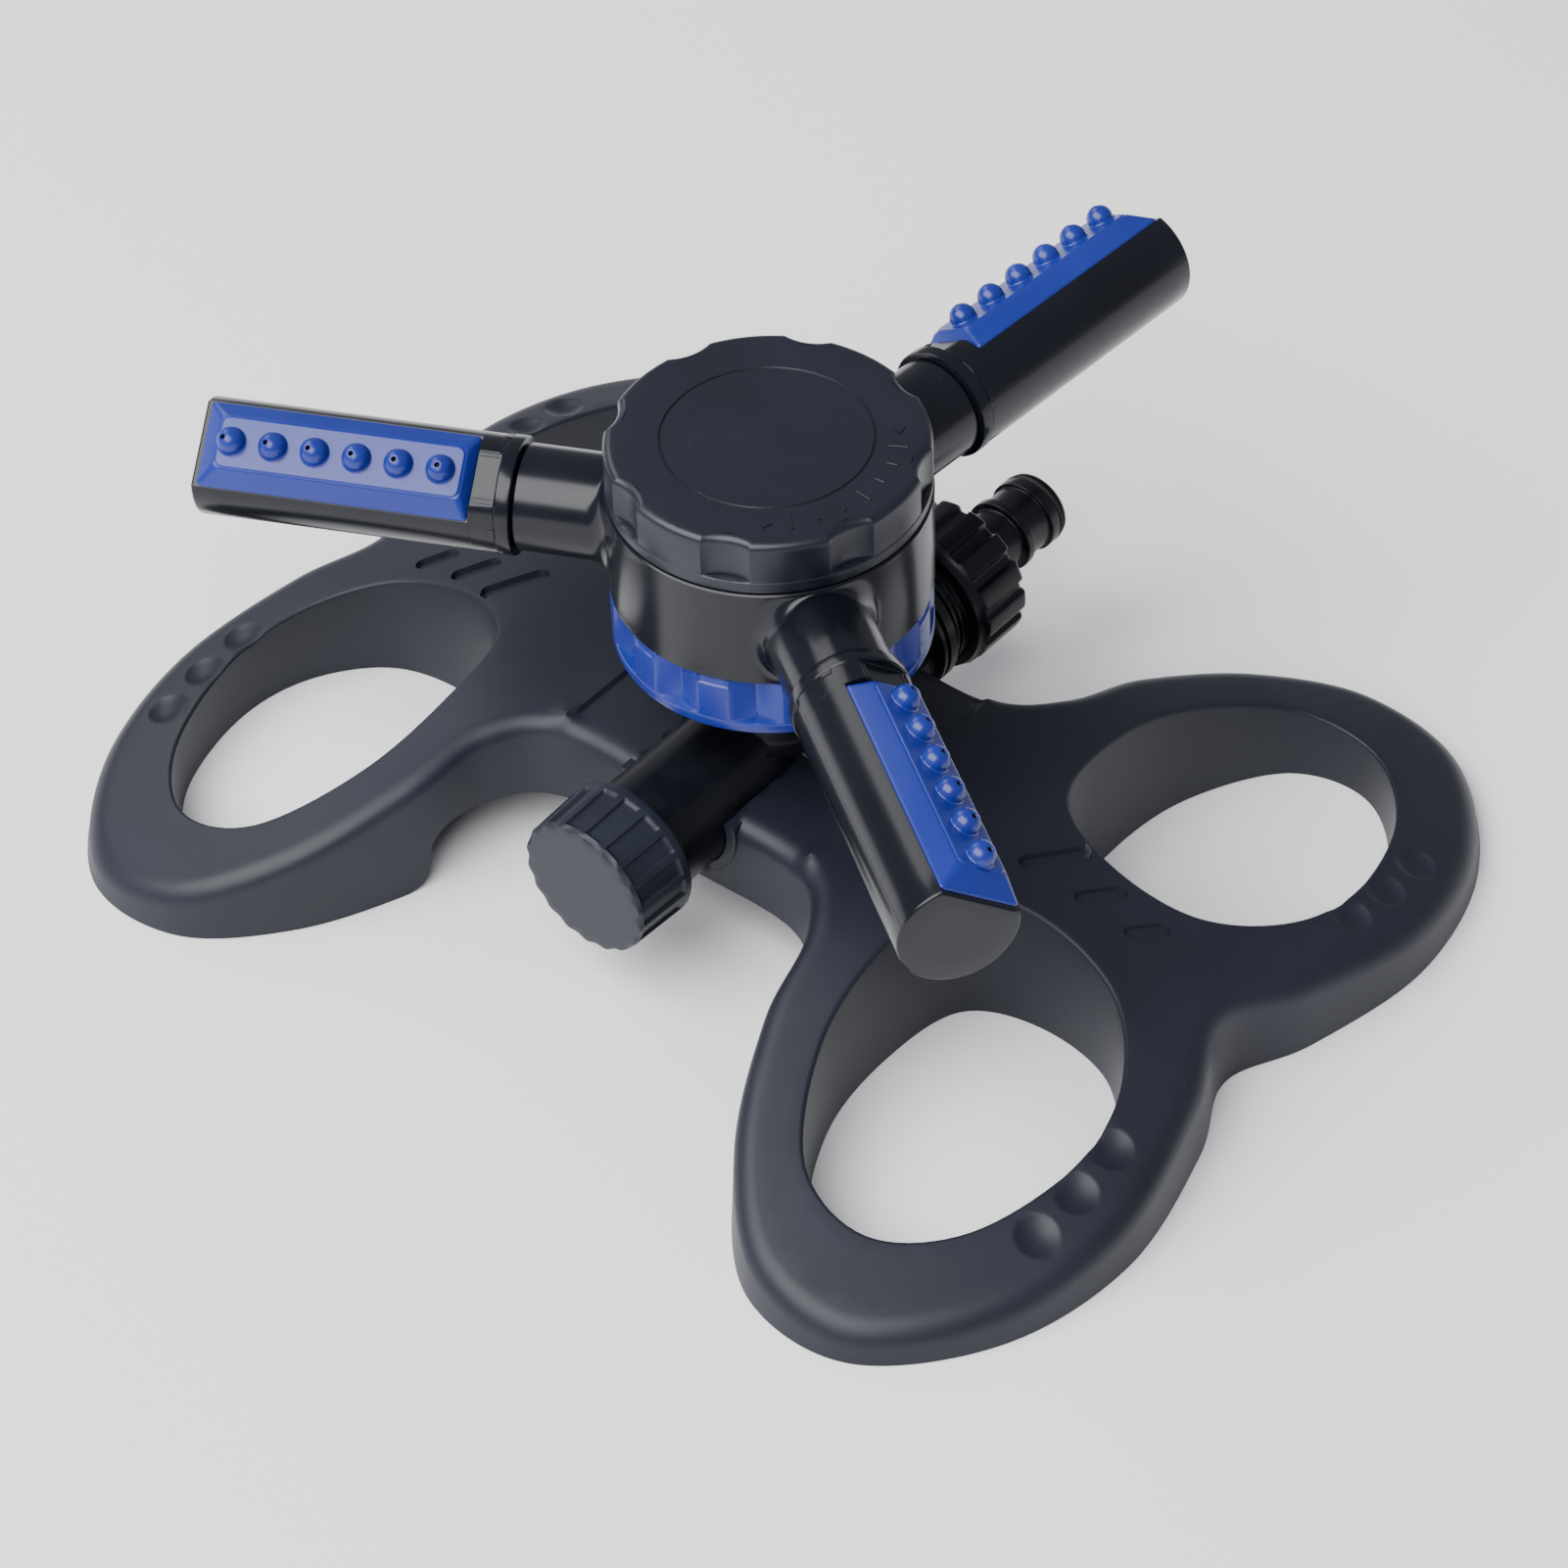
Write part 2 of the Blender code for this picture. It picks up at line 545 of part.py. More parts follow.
def make_hose_nipple(material):
    flange = nipple_flange_start()
    flange_end = NUT_END - NUT_FLOOR - FIT_GAP
    stop = NUT_END + NIPPLE_STOP_FROM_NUT
    ring = NUT_END + NIPPLE_RING_FROM_NUT
    tip = NUT_END + NIPPLE_TIP_FROM_NUT
    groove = ring + NIPPLE_RING_WIDTH
    profile = [(NIPPLE_BORE, flange), (THREAD_RADIUS - FIT_GAP, flange), (THREAD_RADIUS - FIT_GAP, flange_end),
               (NIPPLE_NECK, flange_end), (NIPPLE_NECK, stop), (NIPPLE_STOP, stop),
               (NIPPLE_STOP, stop + NIPPLE_STOP_WIDTH), (NIPPLE_BODY, stop + NIPPLE_STOP_WIDTH), (NIPPLE_BODY, ring),
               (NIPPLE_STOP, ring), (NIPPLE_STOP, groove), (NIPPLE_NECK, groove),
               (NIPPLE_NECK, groove + NIPPLE_GROOVE_WIDTH), (NIPPLE_STOP - 0.2, groove + NIPPLE_GROOVE_WIDTH),
               (NIPPLE_STOP - 0.6, tip), (NIPPLE_BORE, tip)]
    return make_object("hose_nipple", turned(profile, ROUND_SMALL, "Y", PIPE_AXIS_HEIGHT), material)


def make_nipple_o_ring(material):
    groove = NUT_END + NIPPLE_RING_FROM_NUT + NIPPLE_RING_WIDTH
    width = NIPPLE_GROOVE_WIDTH - 2 * FIT_GAP
    middle = NIPPLE_NECK + FIT_GAP + width / 2
    return make_object("nipple_o_ring", round_ring(middle, width, groove + NIPPLE_GROOVE_WIDTH / 2, ROUND_SMALL, "Y",
                                                   PIPE_AXIS_HEIGHT), material)


def make_inlet_washer(material):
    start = PIPE_OPEN_END + FIT_GAP
    return make_object("inlet_washer", tube(PIPE_BORE, THREAD_RADIUS - FIT_GAP, start, start + WASHER_THICKNESS,
                                            ROUND_SMALL, "Y", PIPE_AXIS_HEIGHT), material)


def make_filter_screen(material):
    """A small perforated disc that sits inside the inlet washer, against the nipple's flange."""
    end = nipple_flange_start() - FIT_GAP
    shape = tube(0, PIPE_BORE - FIT_GAP, end - SCREEN_THICKNESS, end, ROUND_SMALL, "Y", PIPE_AXIS_HEIGHT)
    screen = make_object("filter_screen", shape, material)
    ring = (PIPE_BORE - FIT_GAP) * 0.58
    places = [(0.0, 0.0)] + [(ring * math.cos(math.pi * step / 3), ring * math.sin(math.pi * step / 3))
                             for step in range(6)]
    for index, (x, z) in enumerate(places):
        hole = tube(0, SCREEN_HOLE, end - 5, end + 5, 6, "Y", PIPE_AXIS_HEIGHT)
        bmesh.ops.translate(hole, vec=(x, 0, z), verts=hole.verts)
        change(screen, "DIFFERENCE", hole, f"screen_hole_{index + 1}")
    return screen


def spindle_flange_bottom():
    return NECK_TOP + FIT_GAP


def make_spindle(material):
    flange = spindle_flange_bottom()
    flange_top = flange + SPINDLE_FLANGE_THICKNESS
    clip_low, clip_high = clip_span()
    tail = NECK_TOP - NECK_SOCKET_DEPTH + FIT_GAP
    ring_low = NECK_TOP - O_RING_WIDTH - 2.4
    ring_high = NECK_TOP - 2.0
    groove = SPINDLE_TAIL_RADIUS - O_RING_WIDTH
    clip_root = SPINDLE_RADIUS - CLIP_GROOVE
    profile = [(SPINDLE_BORE, tail), (SPINDLE_TAIL_RADIUS, tail), (SPINDLE_TAIL_RADIUS, ring_low), (groove, ring_low),
               (groove, ring_high), (SPINDLE_TAIL_RADIUS, ring_high), (SPINDLE_TAIL_RADIUS, flange),
               (SPINDLE_FLANGE_RADIUS, flange), (SPINDLE_FLANGE_RADIUS, flange_top), (SPINDLE_RADIUS, flange_top),
               (SPINDLE_RADIUS, clip_low - FIT_GAP), (clip_root, clip_low - FIT_GAP), (clip_root, clip_high + FIT_GAP),
               (SPINDLE_RADIUS, clip_high + FIT_GAP), (SPINDLE_RADIUS, SPINDLE_TOP), (0, SPINDLE_TOP),
               (0, SPINDLE_TOP - 2), (SPINDLE_BORE, SPINDLE_TOP - 2)]
    spindle = make_object("spindle", turned(profile, ROUND_SMALL), material)
    port_low = clip_high + 1.5
    port_high = min(port_low + SPINDLE_PORT_HEIGHT, SPINDLE_TOP - 3)
    half = SPINDLE_PORT_WIDTH / 2
    change(spindle, "DIFFERENCE", box((-20, -half, port_low), (20, half, port_high)), "port_cut_x")
    change(spindle, "DIFFERENCE", box((-half, -20, port_low), (half, 20, port_high)), "port_cut_y")
    return spindle


def floor_top():
    return ROTOR_BOTTOM + ROTOR_WALL


def clip_span():
    """The clip lies on the upper thrust washer, which lies on the rotor's floor."""
    low = floor_top() + FIT_GAP + THRUST_WASHER + FIT_GAP
    return low, low + CLIP_THICKNESS


def make_spindle_parts(rubber, acetal, brass):
    flange_top = spindle_flange_bottom() + SPINDLE_FLANGE_THICKNESS
    inner = SPINDLE_RADIUS + TURN_GAP
    ring_width = O_RING_WIDTH - 2 * FIT_GAP
    make_object("spindle_o_ring", round_ring(SPINDLE_TAIL_RADIUS - FIT_GAP - ring_width / 2, ring_width,
                                             NECK_TOP - 2.2 - O_RING_WIDTH / 2), rubber)
    low = flange_top + FIT_GAP
    make_object("lower_thrust_washer", tube(inner, SPINDLE_FLANGE_RADIUS - 1, low, low + THRUST_WASHER, ROUND_SMALL),
                acetal)
    top = floor_top() + FIT_GAP
    make_object("upper_thrust_washer", tube(inner, CLIP_RADIUS, top, top + THRUST_WASHER, ROUND_SMALL), acetal)
    bush_low = HUB_TUBE_BOTTOM + FIT_GAP
    make_object("rotor_bush", tube(inner, inner + BUSH_WALL, bush_low, floor_top() - FIT_GAP, ROUND_SMALL), acetal)
    clip_low, clip_high = clip_span()
    clip = tube(SPINDLE_RADIUS - CLIP_GROOVE + FIT_GAP, CLIP_RADIUS, clip_low, clip_high, ROUND_SMALL)
    clip_object = make_object("spindle_clip", clip, brass)
    gap = box((0, -SPINDLE_RADIUS * 0.7, clip_low - 2), (20, SPINDLE_RADIUS * 0.7, clip_high + 2))
    change(clip_object, "DIFFERENCE", gap, "clip_mouth")


def arm_frames():
    """One empty for each arm: its X axis is the arm's, and its Z axis is where the nozzles point."""
    frames = []
    for index in range(ARM_COUNT):
        angle = math.radians(ARM_FIRST_ANGLE + 360 / ARM_COUNT * index)
        frame = make_empty(f"arm_axis_{index + 1}", (0, 0, ARM_HEIGHT))
        frame.rotation_euler = (-math.radians(ARM_TILT), 0.0, angle)
        frames.append(frame)
    return frames


def make_rotor_housing(material, frames):
    hub_bore = SPINDLE_RADIUS + TURN_GAP + BUSH_WALL + FIT_GAP
    hub = hub_bore + HUB_TUBE_WALL
    inner = ROTOR_RADIUS - ROTOR_WALL
    skirt_inner = SKIRT_RADIUS - ROTOR_WALL
    profile = [(hub_bore, HUB_TUBE_BOTTOM), (hub, HUB_TUBE_BOTTOM), (hub, ROTOR_BOTTOM), (skirt_inner, ROTOR_BOTTOM),
               (skirt_inner, SKIRT_BOTTOM), (SKIRT_RADIUS, SKIRT_BOTTOM), (SKIRT_RADIUS, ROTOR_BOTTOM),
               (ROTOR_RADIUS, ROTOR_BOTTOM), (ROTOR_RADIUS, ROTOR_TOP), (inner, ROTOR_TOP), (inner, floor_top()),
               (hub_bore, floor_top())]
    housing = make_object("rotor_housing", turned(profile), material)
    ring_low = ARM_RING_PLACE - O_RING_WIDTH / 2
    ring_high = ARM_RING_PLACE + O_RING_WIDTH / 2
    snap_low = SNAP_RING_PLACE - SNAP_RING_WIDTH / 2 - FIT_GAP
    snap_high = SNAP_RING_PLACE + SNAP_RING_WIDTH / 2 + FIT_GAP
    groove = JOURNAL_RADIUS - O_RING_WIDTH * 0.75
    snap_root = JOURNAL_RADIUS - SNAP_GROOVE_DEPTH
    start = inner + 0.1    # the stub's root stays inside the wall
    stub = [(0, start), (STUB_RADIUS, start), (STUB_RADIUS, STUB_END), (JOURNAL_RADIUS, STUB_END),
            (JOURNAL_RADIUS, ring_low), (groove, ring_low), (groove, ring_high), (JOURNAL_RADIUS, ring_high),
            (JOURNAL_RADIUS, snap_low), (snap_root, snap_low), (snap_root, snap_high), (JOURNAL_RADIUS, snap_high),
            (JOURNAL_RADIUS, JOURNAL_END), (0, JOURNAL_END)]
    for index, frame in enumerate(frames):
        change(housing, "UNION", turned(stub, ROUND_SMALL, "X"), f"stub_{index + 1}", frame)
        bore = tube(0, JOURNAL_BORE, start - 5, JOURNAL_END + 5, ROUND_LEAST, "X")
        change(housing, "DIFFERENCE", bore, f"stub_bore_{index + 1}", frame)
    return housing


def make_collar(material):
    """The blue grip ring, with V-shaped pockets all round."""
    top = ROTOR_BOTTOM - FIT_GAP
    inner = SKIRT_RADIUS + FIT_GAP
    collar = make_object("blue_collar", tube(inner, ROTOR_RADIUS, COLLAR_BOTTOM, top), material)
    half = math.radians(COLLAR_POCKET_HALF)
    shape = bmesh.new()
    for index in range(COLLAR_POCKETS):
        middle = math.radians(COLLAR_POCKET_FIRST + 360 / COLLAR_POCKETS * index)
        deep = ROTOR_RADIUS - COLLAR_POCKET_DEPTH
        far = ROTOR_RADIUS + 1.0
        corners = [(deep * math.cos(middle), deep * math.sin(middle)),
                   (far * math.cos(middle - half), far * math.sin(middle - half)),
                   (far * math.cos(middle + half), far * math.sin(middle + half))]
        pocket = prism(corners, COLLAR_BOTTOM + COLLAR_POCKET_FLOOR, top + 3)
        mesh = bpy.data.meshes.new("pocket")
        pocket.to_mesh(mesh)
        pocket.free()
        shape.from_mesh(mesh)
        bpy.data.meshes.remove(mesh)
    change(collar, "DIFFERENCE", shape, "collar_pockets")
    return collar


def make_top_cap(material):
    base = ROTOR_TOP + TURN_GAP
    spigot = ROTOR_RADIUS - ROTOR_WALL - TURN_GAP
    groove = spigot - O_RING_WIDTH * 0.75
    inner = spigot - O_RING_WIDTH - CAP_WALL
    low = ROTOR_TOP - CAP_SPIGOT_DEPTH
    ring_low = low + 1.6
    ring_high = ring_low + O_RING_WIDTH
    profile = [(inner, low), (spigot, low), (spigot, ring_low), (groove, ring_low), (groove, ring_high),
               (spigot, ring_high), (spigot, base), (CAP_RADIUS, base), (CAP_RADIUS, CAP_TOP - CAP_EDGE),
               (CAP_RADIUS - CAP_EDGE * 0.3, CAP_TOP - CAP_EDGE * 0.3), (CAP_RADIUS - CAP_EDGE, CAP_TOP), (0, CAP_TOP),
               (0, CAP_TOP - CAP_WALL), (inner, CAP_TOP - CAP_WALL)]
    cap = make_object("top_cap", turned(profile), material)
    shape = bmesh.new()
    middle = CAP_RADIUS - CAP_SCALLOP_DEPTH + CAP_SCALLOP_RADIUS
    for index in range(CAP_SCALLOPS):
        angle = math.radians(CAP_SCALLOP_FIRST + 360 / CAP_SCALLOPS * index)
        cutter = tube(0, CAP_SCALLOP_RADIUS, base + CAP_SCALLOP_FLOOR, CAP_TOP + 5, ROUND_SMALL)
        bmesh.ops.translate(cutter, vec=(middle * math.cos(angle), middle * math.sin(angle), 0), verts=cutter.verts)
        mesh = bpy.data.meshes.new("scallop")
        cutter.to_mesh(mesh)
        cutter.free()
        shape.from_mesh(mesh)
        bpy.data.meshes.remove(mesh)
    change(cap, "DIFFERENCE", shape, "cap_scallops")
    return cap


def make_cap_seal(material):
    spigot = ROTOR_RADIUS - ROTOR_WALL - TURN_GAP
    place = ROTOR_TOP - CAP_SPIGOT_DEPTH + 1.6 + O_RING_WIDTH / 2
    width = O_RING_WIDTH * 0.75 - 2 * FIT_GAP
    middle = spigot - FIT_GAP - width / 2
    return make_object("cap_seal", round_ring(middle, width, place, ROUND_MIDDLE), material)


def flattened_bar(start, end, flat):
    """A round bar along X with one flat at the given distance from its axis."""
    chord = math.acos(flat / SLEEVE_RADIUS)
    count = ROUND_SMALL - 4
    outline = []
    for step in range(count + 1):
        angle = math.pi / 2 + chord + (2 * math.pi - 2 * chord) * step / count
        outline.append((SLEEVE_RADIUS * math.cos(angle), SLEEVE_RADIUS * math.sin(angle)))
    shape = bmesh.new()
    near = [shape.verts.new((start, y, z)) for y, z in outline]
    far = [shape.verts.new((end, y, z)) for y, z in outline]
    shape.faces.new(near[::-1])
    shape.faces.new(far)
    ring_faces(shape, near, far)
    return shape


def make_arm_sleeve(index, material, frame):
    """A tube with a flat for the nozzle plate, closed at its outer end."""
    seat_start = PLATE_START - FIT_GAP
    main = flattened_bar(seat_start - 0.4, SLEEVE_END, FLAT_HEIGHT)
    sleeve = make_object(f"arm_sleeve_{index + 1}", main, material, frame)
    change(sleeve, "UNION", flattened_bar(LIP_END - 0.2, seat_start, STEP_HEIGHT), f"sleeve_step_{index + 1}", frame)
    change(sleeve, "UNION", tube(0, SLEEVE_RADIUS + 0.2, SLEEVE_START, LIP_END, ROUND_SMALL, "X"), f"sleeve_lip_{index + 1}",
           frame)
    journal = tube(0, JOURNAL_RADIUS + TURN_GAP, SLEEVE_START - 5, JOURNAL_END + FIT_GAP, ROUND_SMALL, "X")
    change(sleeve, "DIFFERENCE", journal, f"sleeve_bore_{index + 1}", frame)
    chamber = tube(0, SLEEVE_CHAMBER, JOURNAL_END - 1, SLEEVE_END - SLEEVE_END_WALL, ROUND_LEAST, "X")
    change(sleeve, "DIFFERENCE", chamber, f"sleeve_chamber_{index + 1}", frame)
    half = PLATE_WIDTH / 2 + FIT_GAP
    seat = box((seat_start, -half, FLAT_HEIGHT - PLATE_THICKNESS - FIT_GAP),
               (PLATE_END + FIT_GAP, half, STEP_HEIGHT + 5))
    change(sleeve, "DIFFERENCE", seat, f"sleeve_seat_{index + 1}", frame)
    slot_half = WATER_SLOT_WIDTH / 2
    slot = box((JOURNAL_END + 3, -slot_half, 0), (PLATE_END - 3, slot_half, FLAT_HEIGHT + 5))
    change(sleeve, "DIFFERENCE", slot, f"sleeve_slot_{index + 1}", frame)
    return sleeve


def make_nozzle_plate(index, material, frame):
    """The blue plate: a rim on the sleeve's flat, slopes up to a raised middle, and six domes on that."""
    low = FLAT_HEIGHT - PLATE_THICKNESS
    middle = FLAT_HEIGHT + PLATE_RISE
    half = PLATE_WIDTH / 2
    shape = bmesh.new()

    def rectangle(near, far, side, height):
        return [shape.verts.new(corner) for corner in (
            (PLATE_START + near, -half + side, height), (PLATE_END - far, -half + side, height),
            (PLATE_END - far, half - side, height), (PLATE_START + near, half - side, height))]

    rings = [rectangle(0, 0, 0, low), rectangle(0, 0, 0, FLAT_HEIGHT + PLATE_RIM),
             rectangle(PLATE_NEAR_BEVEL, PLATE_FAR_BEVEL, PLATE_SIDE_BEVEL, middle)]
    shape.faces.new(rings[0][::-1])
    for first, second in zip(rings, rings[1:]):
        ring_faces(shape, first, second)
    shape.faces.new(rings[-1])
    plate = make_object(f"nozzle_plate_{index + 1}", shape, material, frame)
    domes = bmesh.new()
    for step in range(NOZZLE_COUNT):
        dome = turned([(0, middle - DOME_SINK), (DOME_RADIUS, middle - DOME_SINK), (DOME_RADIUS, middle + DOME_WALL),
                       (DOME_RADIUS * 0.75, middle + DOME_WALL + (DOME_HEIGHT - DOME_WALL) * 0.72),
                       (0, middle + DOME_HEIGHT)], ROUND_LEAST)
        bmesh.ops.translate(dome, vec=(NOZZLE_FIRST + step * NOZZLE_PITCH, 0, 0), verts=dome.verts)
        mesh = bpy.data.meshes.new("dome")
        dome.to_mesh(mesh)
        dome.free()
        domes.from_mesh(mesh)
        bpy.data.meshes.remove(mesh)
    change(plate, "UNION", domes, f"domes_{index + 1}", frame)
    return plate


def make_arm_seals(index, rubber, steel, frame):
    ring_width = O_RING_WIDTH * 0.75 - 2 * FIT_GAP
    middle = JOURNAL_RADIUS - FIT_GAP - ring_width / 2
    make_object(f"arm_o_ring_{index + 1}", round_ring(middle, ring_width, ARM_RING_PLACE, ROUND_SMALL, "X"), rubber, frame)
    inner = JOURNAL_RADIUS - SNAP_GROOVE_DEPTH + FIT_GAP
    low = SNAP_RING_PLACE - SNAP_RING_WIDTH / 2
    ring = make_object(f"arm_snap_ring_{index + 1}", tube(inner, JOURNAL_RADIUS - 0.1, low, low + SNAP_RING_WIDTH,
                                                          ROUND_SMALL, "X"), steel, frame)
    gap = box((low - 2, -2.5, 0), (low + 4, 2.5, 20))
    change(ring, "DIFFERENCE", gap, f"snap_mouth_{index + 1}", frame)


def main():
    clear_scene()
    base_plastic = make_material("base_plastic", (0.022, 0.024, 0.030), 0.48)
    gloss_black = make_material("gloss_black", (0.012, 0.012, 0.013), 0.22)
    cap_black = make_material("cap_black", (0.018, 0.018, 0.020), 0.38)
    fitting_grey = make_material("fitting_grey", (0.030, 0.031, 0.034), 0.42)
    blue_plastic = make_material("blue_plastic", (0.030, 0.090, 0.400), 0.28)
    rubber = make_material("rubber", (0.010, 0.010, 0.010), 0.75)
    acetal = make_material("acetal", (0.750, 0.740, 0.700), 0.40)
    steel = make_material("steel", (0.560, 0.560, 0.570), 0.30, 1.0)

    make_base_shell(base_plastic)
    make_manifold(base_plastic)
    for index, place in enumerate(screw_places()):
        make_ear_screw(index, place, steel)
    make_end_cap(fitting_grey)
    make_end_cap_washer(rubber)
    make_inlet_nut(fitting_grey)
    make_hose_nipple(fitting_grey)
    make_nipple_o_ring(rubber)
    make_inlet_washer(rubber)
    make_filter_screen(steel)
    make_spindle(acetal)
    make_spindle_parts(rubber, acetal, steel)
    frames = arm_frames()
    make_rotor_housing(gloss_black, frames)
    make_collar(blue_plastic)
    make_top_cap(cap_black)
    make_cap_seal(rubber)
    for index, frame in enumerate(frames):
        make_arm_sleeve(index, gloss_black, frame)
        make_nozzle_plate(index, blue_plastic, frame)
        make_arm_seals(index, rubber, steel, frame)
    for tool in TOOLS:
        tool.hide_render = True
        tool.display_type = "WIRE"


main()
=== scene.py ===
# Rotary lawn sprinkler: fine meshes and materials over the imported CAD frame.
# Sizes in the dictionaries are millimetres in the frame's own axes; makePiece turns them into metres.
from math import acos, atan2, copysign, cos, exp, hypot, log1p, pi, radians, sin, sqrt

import bmesh
import bpy
import numpy as np
from mathutils import Matrix, Vector
from mathutils.geometry import delaunay_2d_cdt


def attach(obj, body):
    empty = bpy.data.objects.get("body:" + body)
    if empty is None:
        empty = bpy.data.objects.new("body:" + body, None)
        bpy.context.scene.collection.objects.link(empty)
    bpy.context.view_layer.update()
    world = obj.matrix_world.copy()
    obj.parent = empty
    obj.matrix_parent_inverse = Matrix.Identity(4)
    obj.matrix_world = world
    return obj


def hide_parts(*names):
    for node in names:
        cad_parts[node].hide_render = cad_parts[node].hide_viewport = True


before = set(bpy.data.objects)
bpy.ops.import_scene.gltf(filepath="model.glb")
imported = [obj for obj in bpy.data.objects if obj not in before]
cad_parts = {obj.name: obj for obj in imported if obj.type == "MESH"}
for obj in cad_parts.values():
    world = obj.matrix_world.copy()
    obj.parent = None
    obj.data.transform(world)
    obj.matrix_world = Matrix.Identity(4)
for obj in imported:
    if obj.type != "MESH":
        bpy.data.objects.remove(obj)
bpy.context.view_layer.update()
mm = 0.001


# Colours and nodes

def hexColour(code):
    channels = [int(code[place:place + 2], 16) / 255 for place in (1, 3, 5)]
    return tuple(c / 12.92 if c <= 0.04045 else ((c + 0.055) / 1.055) ** 2.4 for c in channels) + (1.0,)


def addNode(tree, kind, settings=None, links=None):
    node = tree.nodes.new(kind)
    for name, value in (settings or {}).items():
        if isinstance(name, str) and hasattr(node, name):
            setattr(node, name, value)
        else:
            node.inputs[name].default_value = value
    for name, source in (links or {}).items():
        tree.links.new(source, node.inputs[name])
    return node


def perMetre(size):
    return 1000 / size         # the texture scale whose pattern repeats about every size mm


def startMaterial(name, settings):
    material = bpy.data.materials.new(name)
    material.use_nodes = True
    tree = material.node_tree
    tree.nodes.clear()
    shader = addNode(tree, "ShaderNodeBsdfPrincipled", settings)
    addNode(tree, "ShaderNodeOutputMaterial", links={"Surface": shader.outputs["BSDF"]})
    place = addNode(tree, "ShaderNodeTexCoord")
    return material, tree, shader, place.outputs["Object"]


def mouldedPlastic(name, look):
    # the colour drifts as the melt did, and the grain is what the mould's wall left on the skin
    material, tree, shader, place = startMaterial(name, {"IOR": look.get("ior", 1.5),
            "Specular IOR Level": look.get("sheen", 0.5)})
    drift = addNode(tree, "ShaderNodeTexNoise", {"Scale": perMetre(look["drift"]), "Detail": 4.0},
            {"Vector": place})
    colour = addNode(tree, "ShaderNodeValToRGB", links={"Fac": drift.outputs["Fac"]})
    colour.color_ramp.elements[0].position = 0.32
    colour.color_ramp.elements[0].color = hexColour(look["dark"])
    colour.color_ramp.elements[1].position = 0.70
    colour.color_ramp.elements[1].color = hexColour(look["light"])
    fine = addNode(tree, "ShaderNodeTexNoise", {"Scale": perMetre(look["grain"]), "Detail": 3.0,
            "Roughness": 0.6}, {"Vector": place})
    uneven = addNode(tree, "ShaderNodeMapRange", {"To Min": look["rough"] - 2 * look["spread"],
            "To Max": look["rough"] + look["spread"]}, {"Value": drift.outputs["Fac"]})
    grainy = addNode(tree, "ShaderNodeMath", {"operation": "MULTIPLY_ADD", 1: look["spread"]},
            {0: fine.outputs["Fac"], 2: uneven.outputs["Result"]})
    raised = addNode(tree, "ShaderNodeBump", {"Distance": look["bump"] * mm},
            {"Height": fine.outputs["Fac"]})
    tree.links.new(grainy.outputs["Value"], shader.inputs["Roughness"])
    tree.links.new(raised.outputs["Normal"], shader.inputs["Normal"])
    skin = colour.outputs["Color"]
    if "dust" in look:         # sparse pale specks about 0.3 mm across
        cells = addNode(tree, "ShaderNodeTexVoronoi", {"Scale": perMetre(look["dustGap"])},
                {"Vector": place})
        speck = addNode(tree, "ShaderNodeMapRange", {"From Min": 0.3 / look["dustGap"] / 2, "From Max": 0.0,
                "To Max": look["dust"]}, {"Value": cells.outputs["Distance"]})
        dusty = addNode(tree, "ShaderNodeMixRGB", {"Color2": hexColour("#9a9894")},
                {"Fac": speck.outputs["Result"], "Color1": skin})
        skin = dusty.outputs["Color"]
    tree.links.new(skin, shader.inputs["Base Color"])
    return material


# The base: satin black polypropylene from a mould with a fine spark-eroded texture, so highlights are broad
# and soft
basePolypropylene = mouldedPlastic("sparkErodedPolypropylene", {
    "dark": "#141721", "light": "#1a1d2a", "drift": 40, "grain": 0.7, "bump": 0.018, "rough": 0.46,
    "spread": 0.05, "sheen": 0.38, "dust": 0.35, "dustGap": 6.5})

# Head, stubs and arms: black ABS from a polished mould, with sharp reflections and the odd speck of dust
polishedAbs = mouldedPlastic("polishedBlackAbs", {
    "dark": "#0b0d14", "light": "#10121b", "drift": 28, "grain": 2.5, "bump": 0.004, "rough": 0.20,
    "spread": 0.03, "ior": 1.53, "sheen": 0.32, "dust": 0.5, "dustGap": 5.0})

# Cap: the same ABS from a blasted mould, a little duller and bluer
blastedAbs = mouldedPlastic("blastedBlackAbs", {
    "dark": "#12151f", "light": "#171a27", "drift": 30, "grain": 0.5, "bump": 0.010, "rough": 0.34,
    "spread": 0.04, "ior": 1.53, "sheen": 0.4, "dust": 0.5, "dustGap": 5.5})

# Pipe and hose fittings: glass-filled nylon as moulded, with a faint cloudy skin where the fibres lie near
# the surface
glassFilledNylon = mouldedPlastic("glassFilledNylon", {
    "dark": "#090a0f", "light": "#0f1118", "drift": 9, "grain": 0.6, "bump": 0.014, "rough": 0.33,
    "spread": 0.06, "sheen": 0.28})

# End cap: talc-filled polypropylene, greyer and duller than the rest
talcPolypropylene = mouldedPlastic("talcFilledPolypropylene", {
    "dark": "#181b26", "light": "#1f222f", "drift": 12, "grain": 0.6, "bump": 0.016, "rough": 0.46,
    "spread": 0.05, "sheen": 0.35})

# Grip ring and nozzle plates: royal blue ABS, coloured right through and polished, so it glows a little at
# the edges
blueAbs = mouldedPlastic("royalBlueAbs", {
    "dark": "#17267c", "light": "#1c2c86", "drift": 22, "grain": 2.2, "bump": 0.004, "rough": 0.27,
    "spread": 0.03, "ior": 1.53, "sheen": 0.42})

# Painted shade: the same blue made near black for the faces deep inside a nozzle's bore, where hardly any
# light comes back
paintedShadeBlueAbs = mouldedPlastic("paintedShadeBlueAbs", {
    "dark": "#03060e", "light": "#050a16", "drift": 5, "grain": 0.5, "bump": 0.004, "rough": 0.6,
    "spread": 0.05})

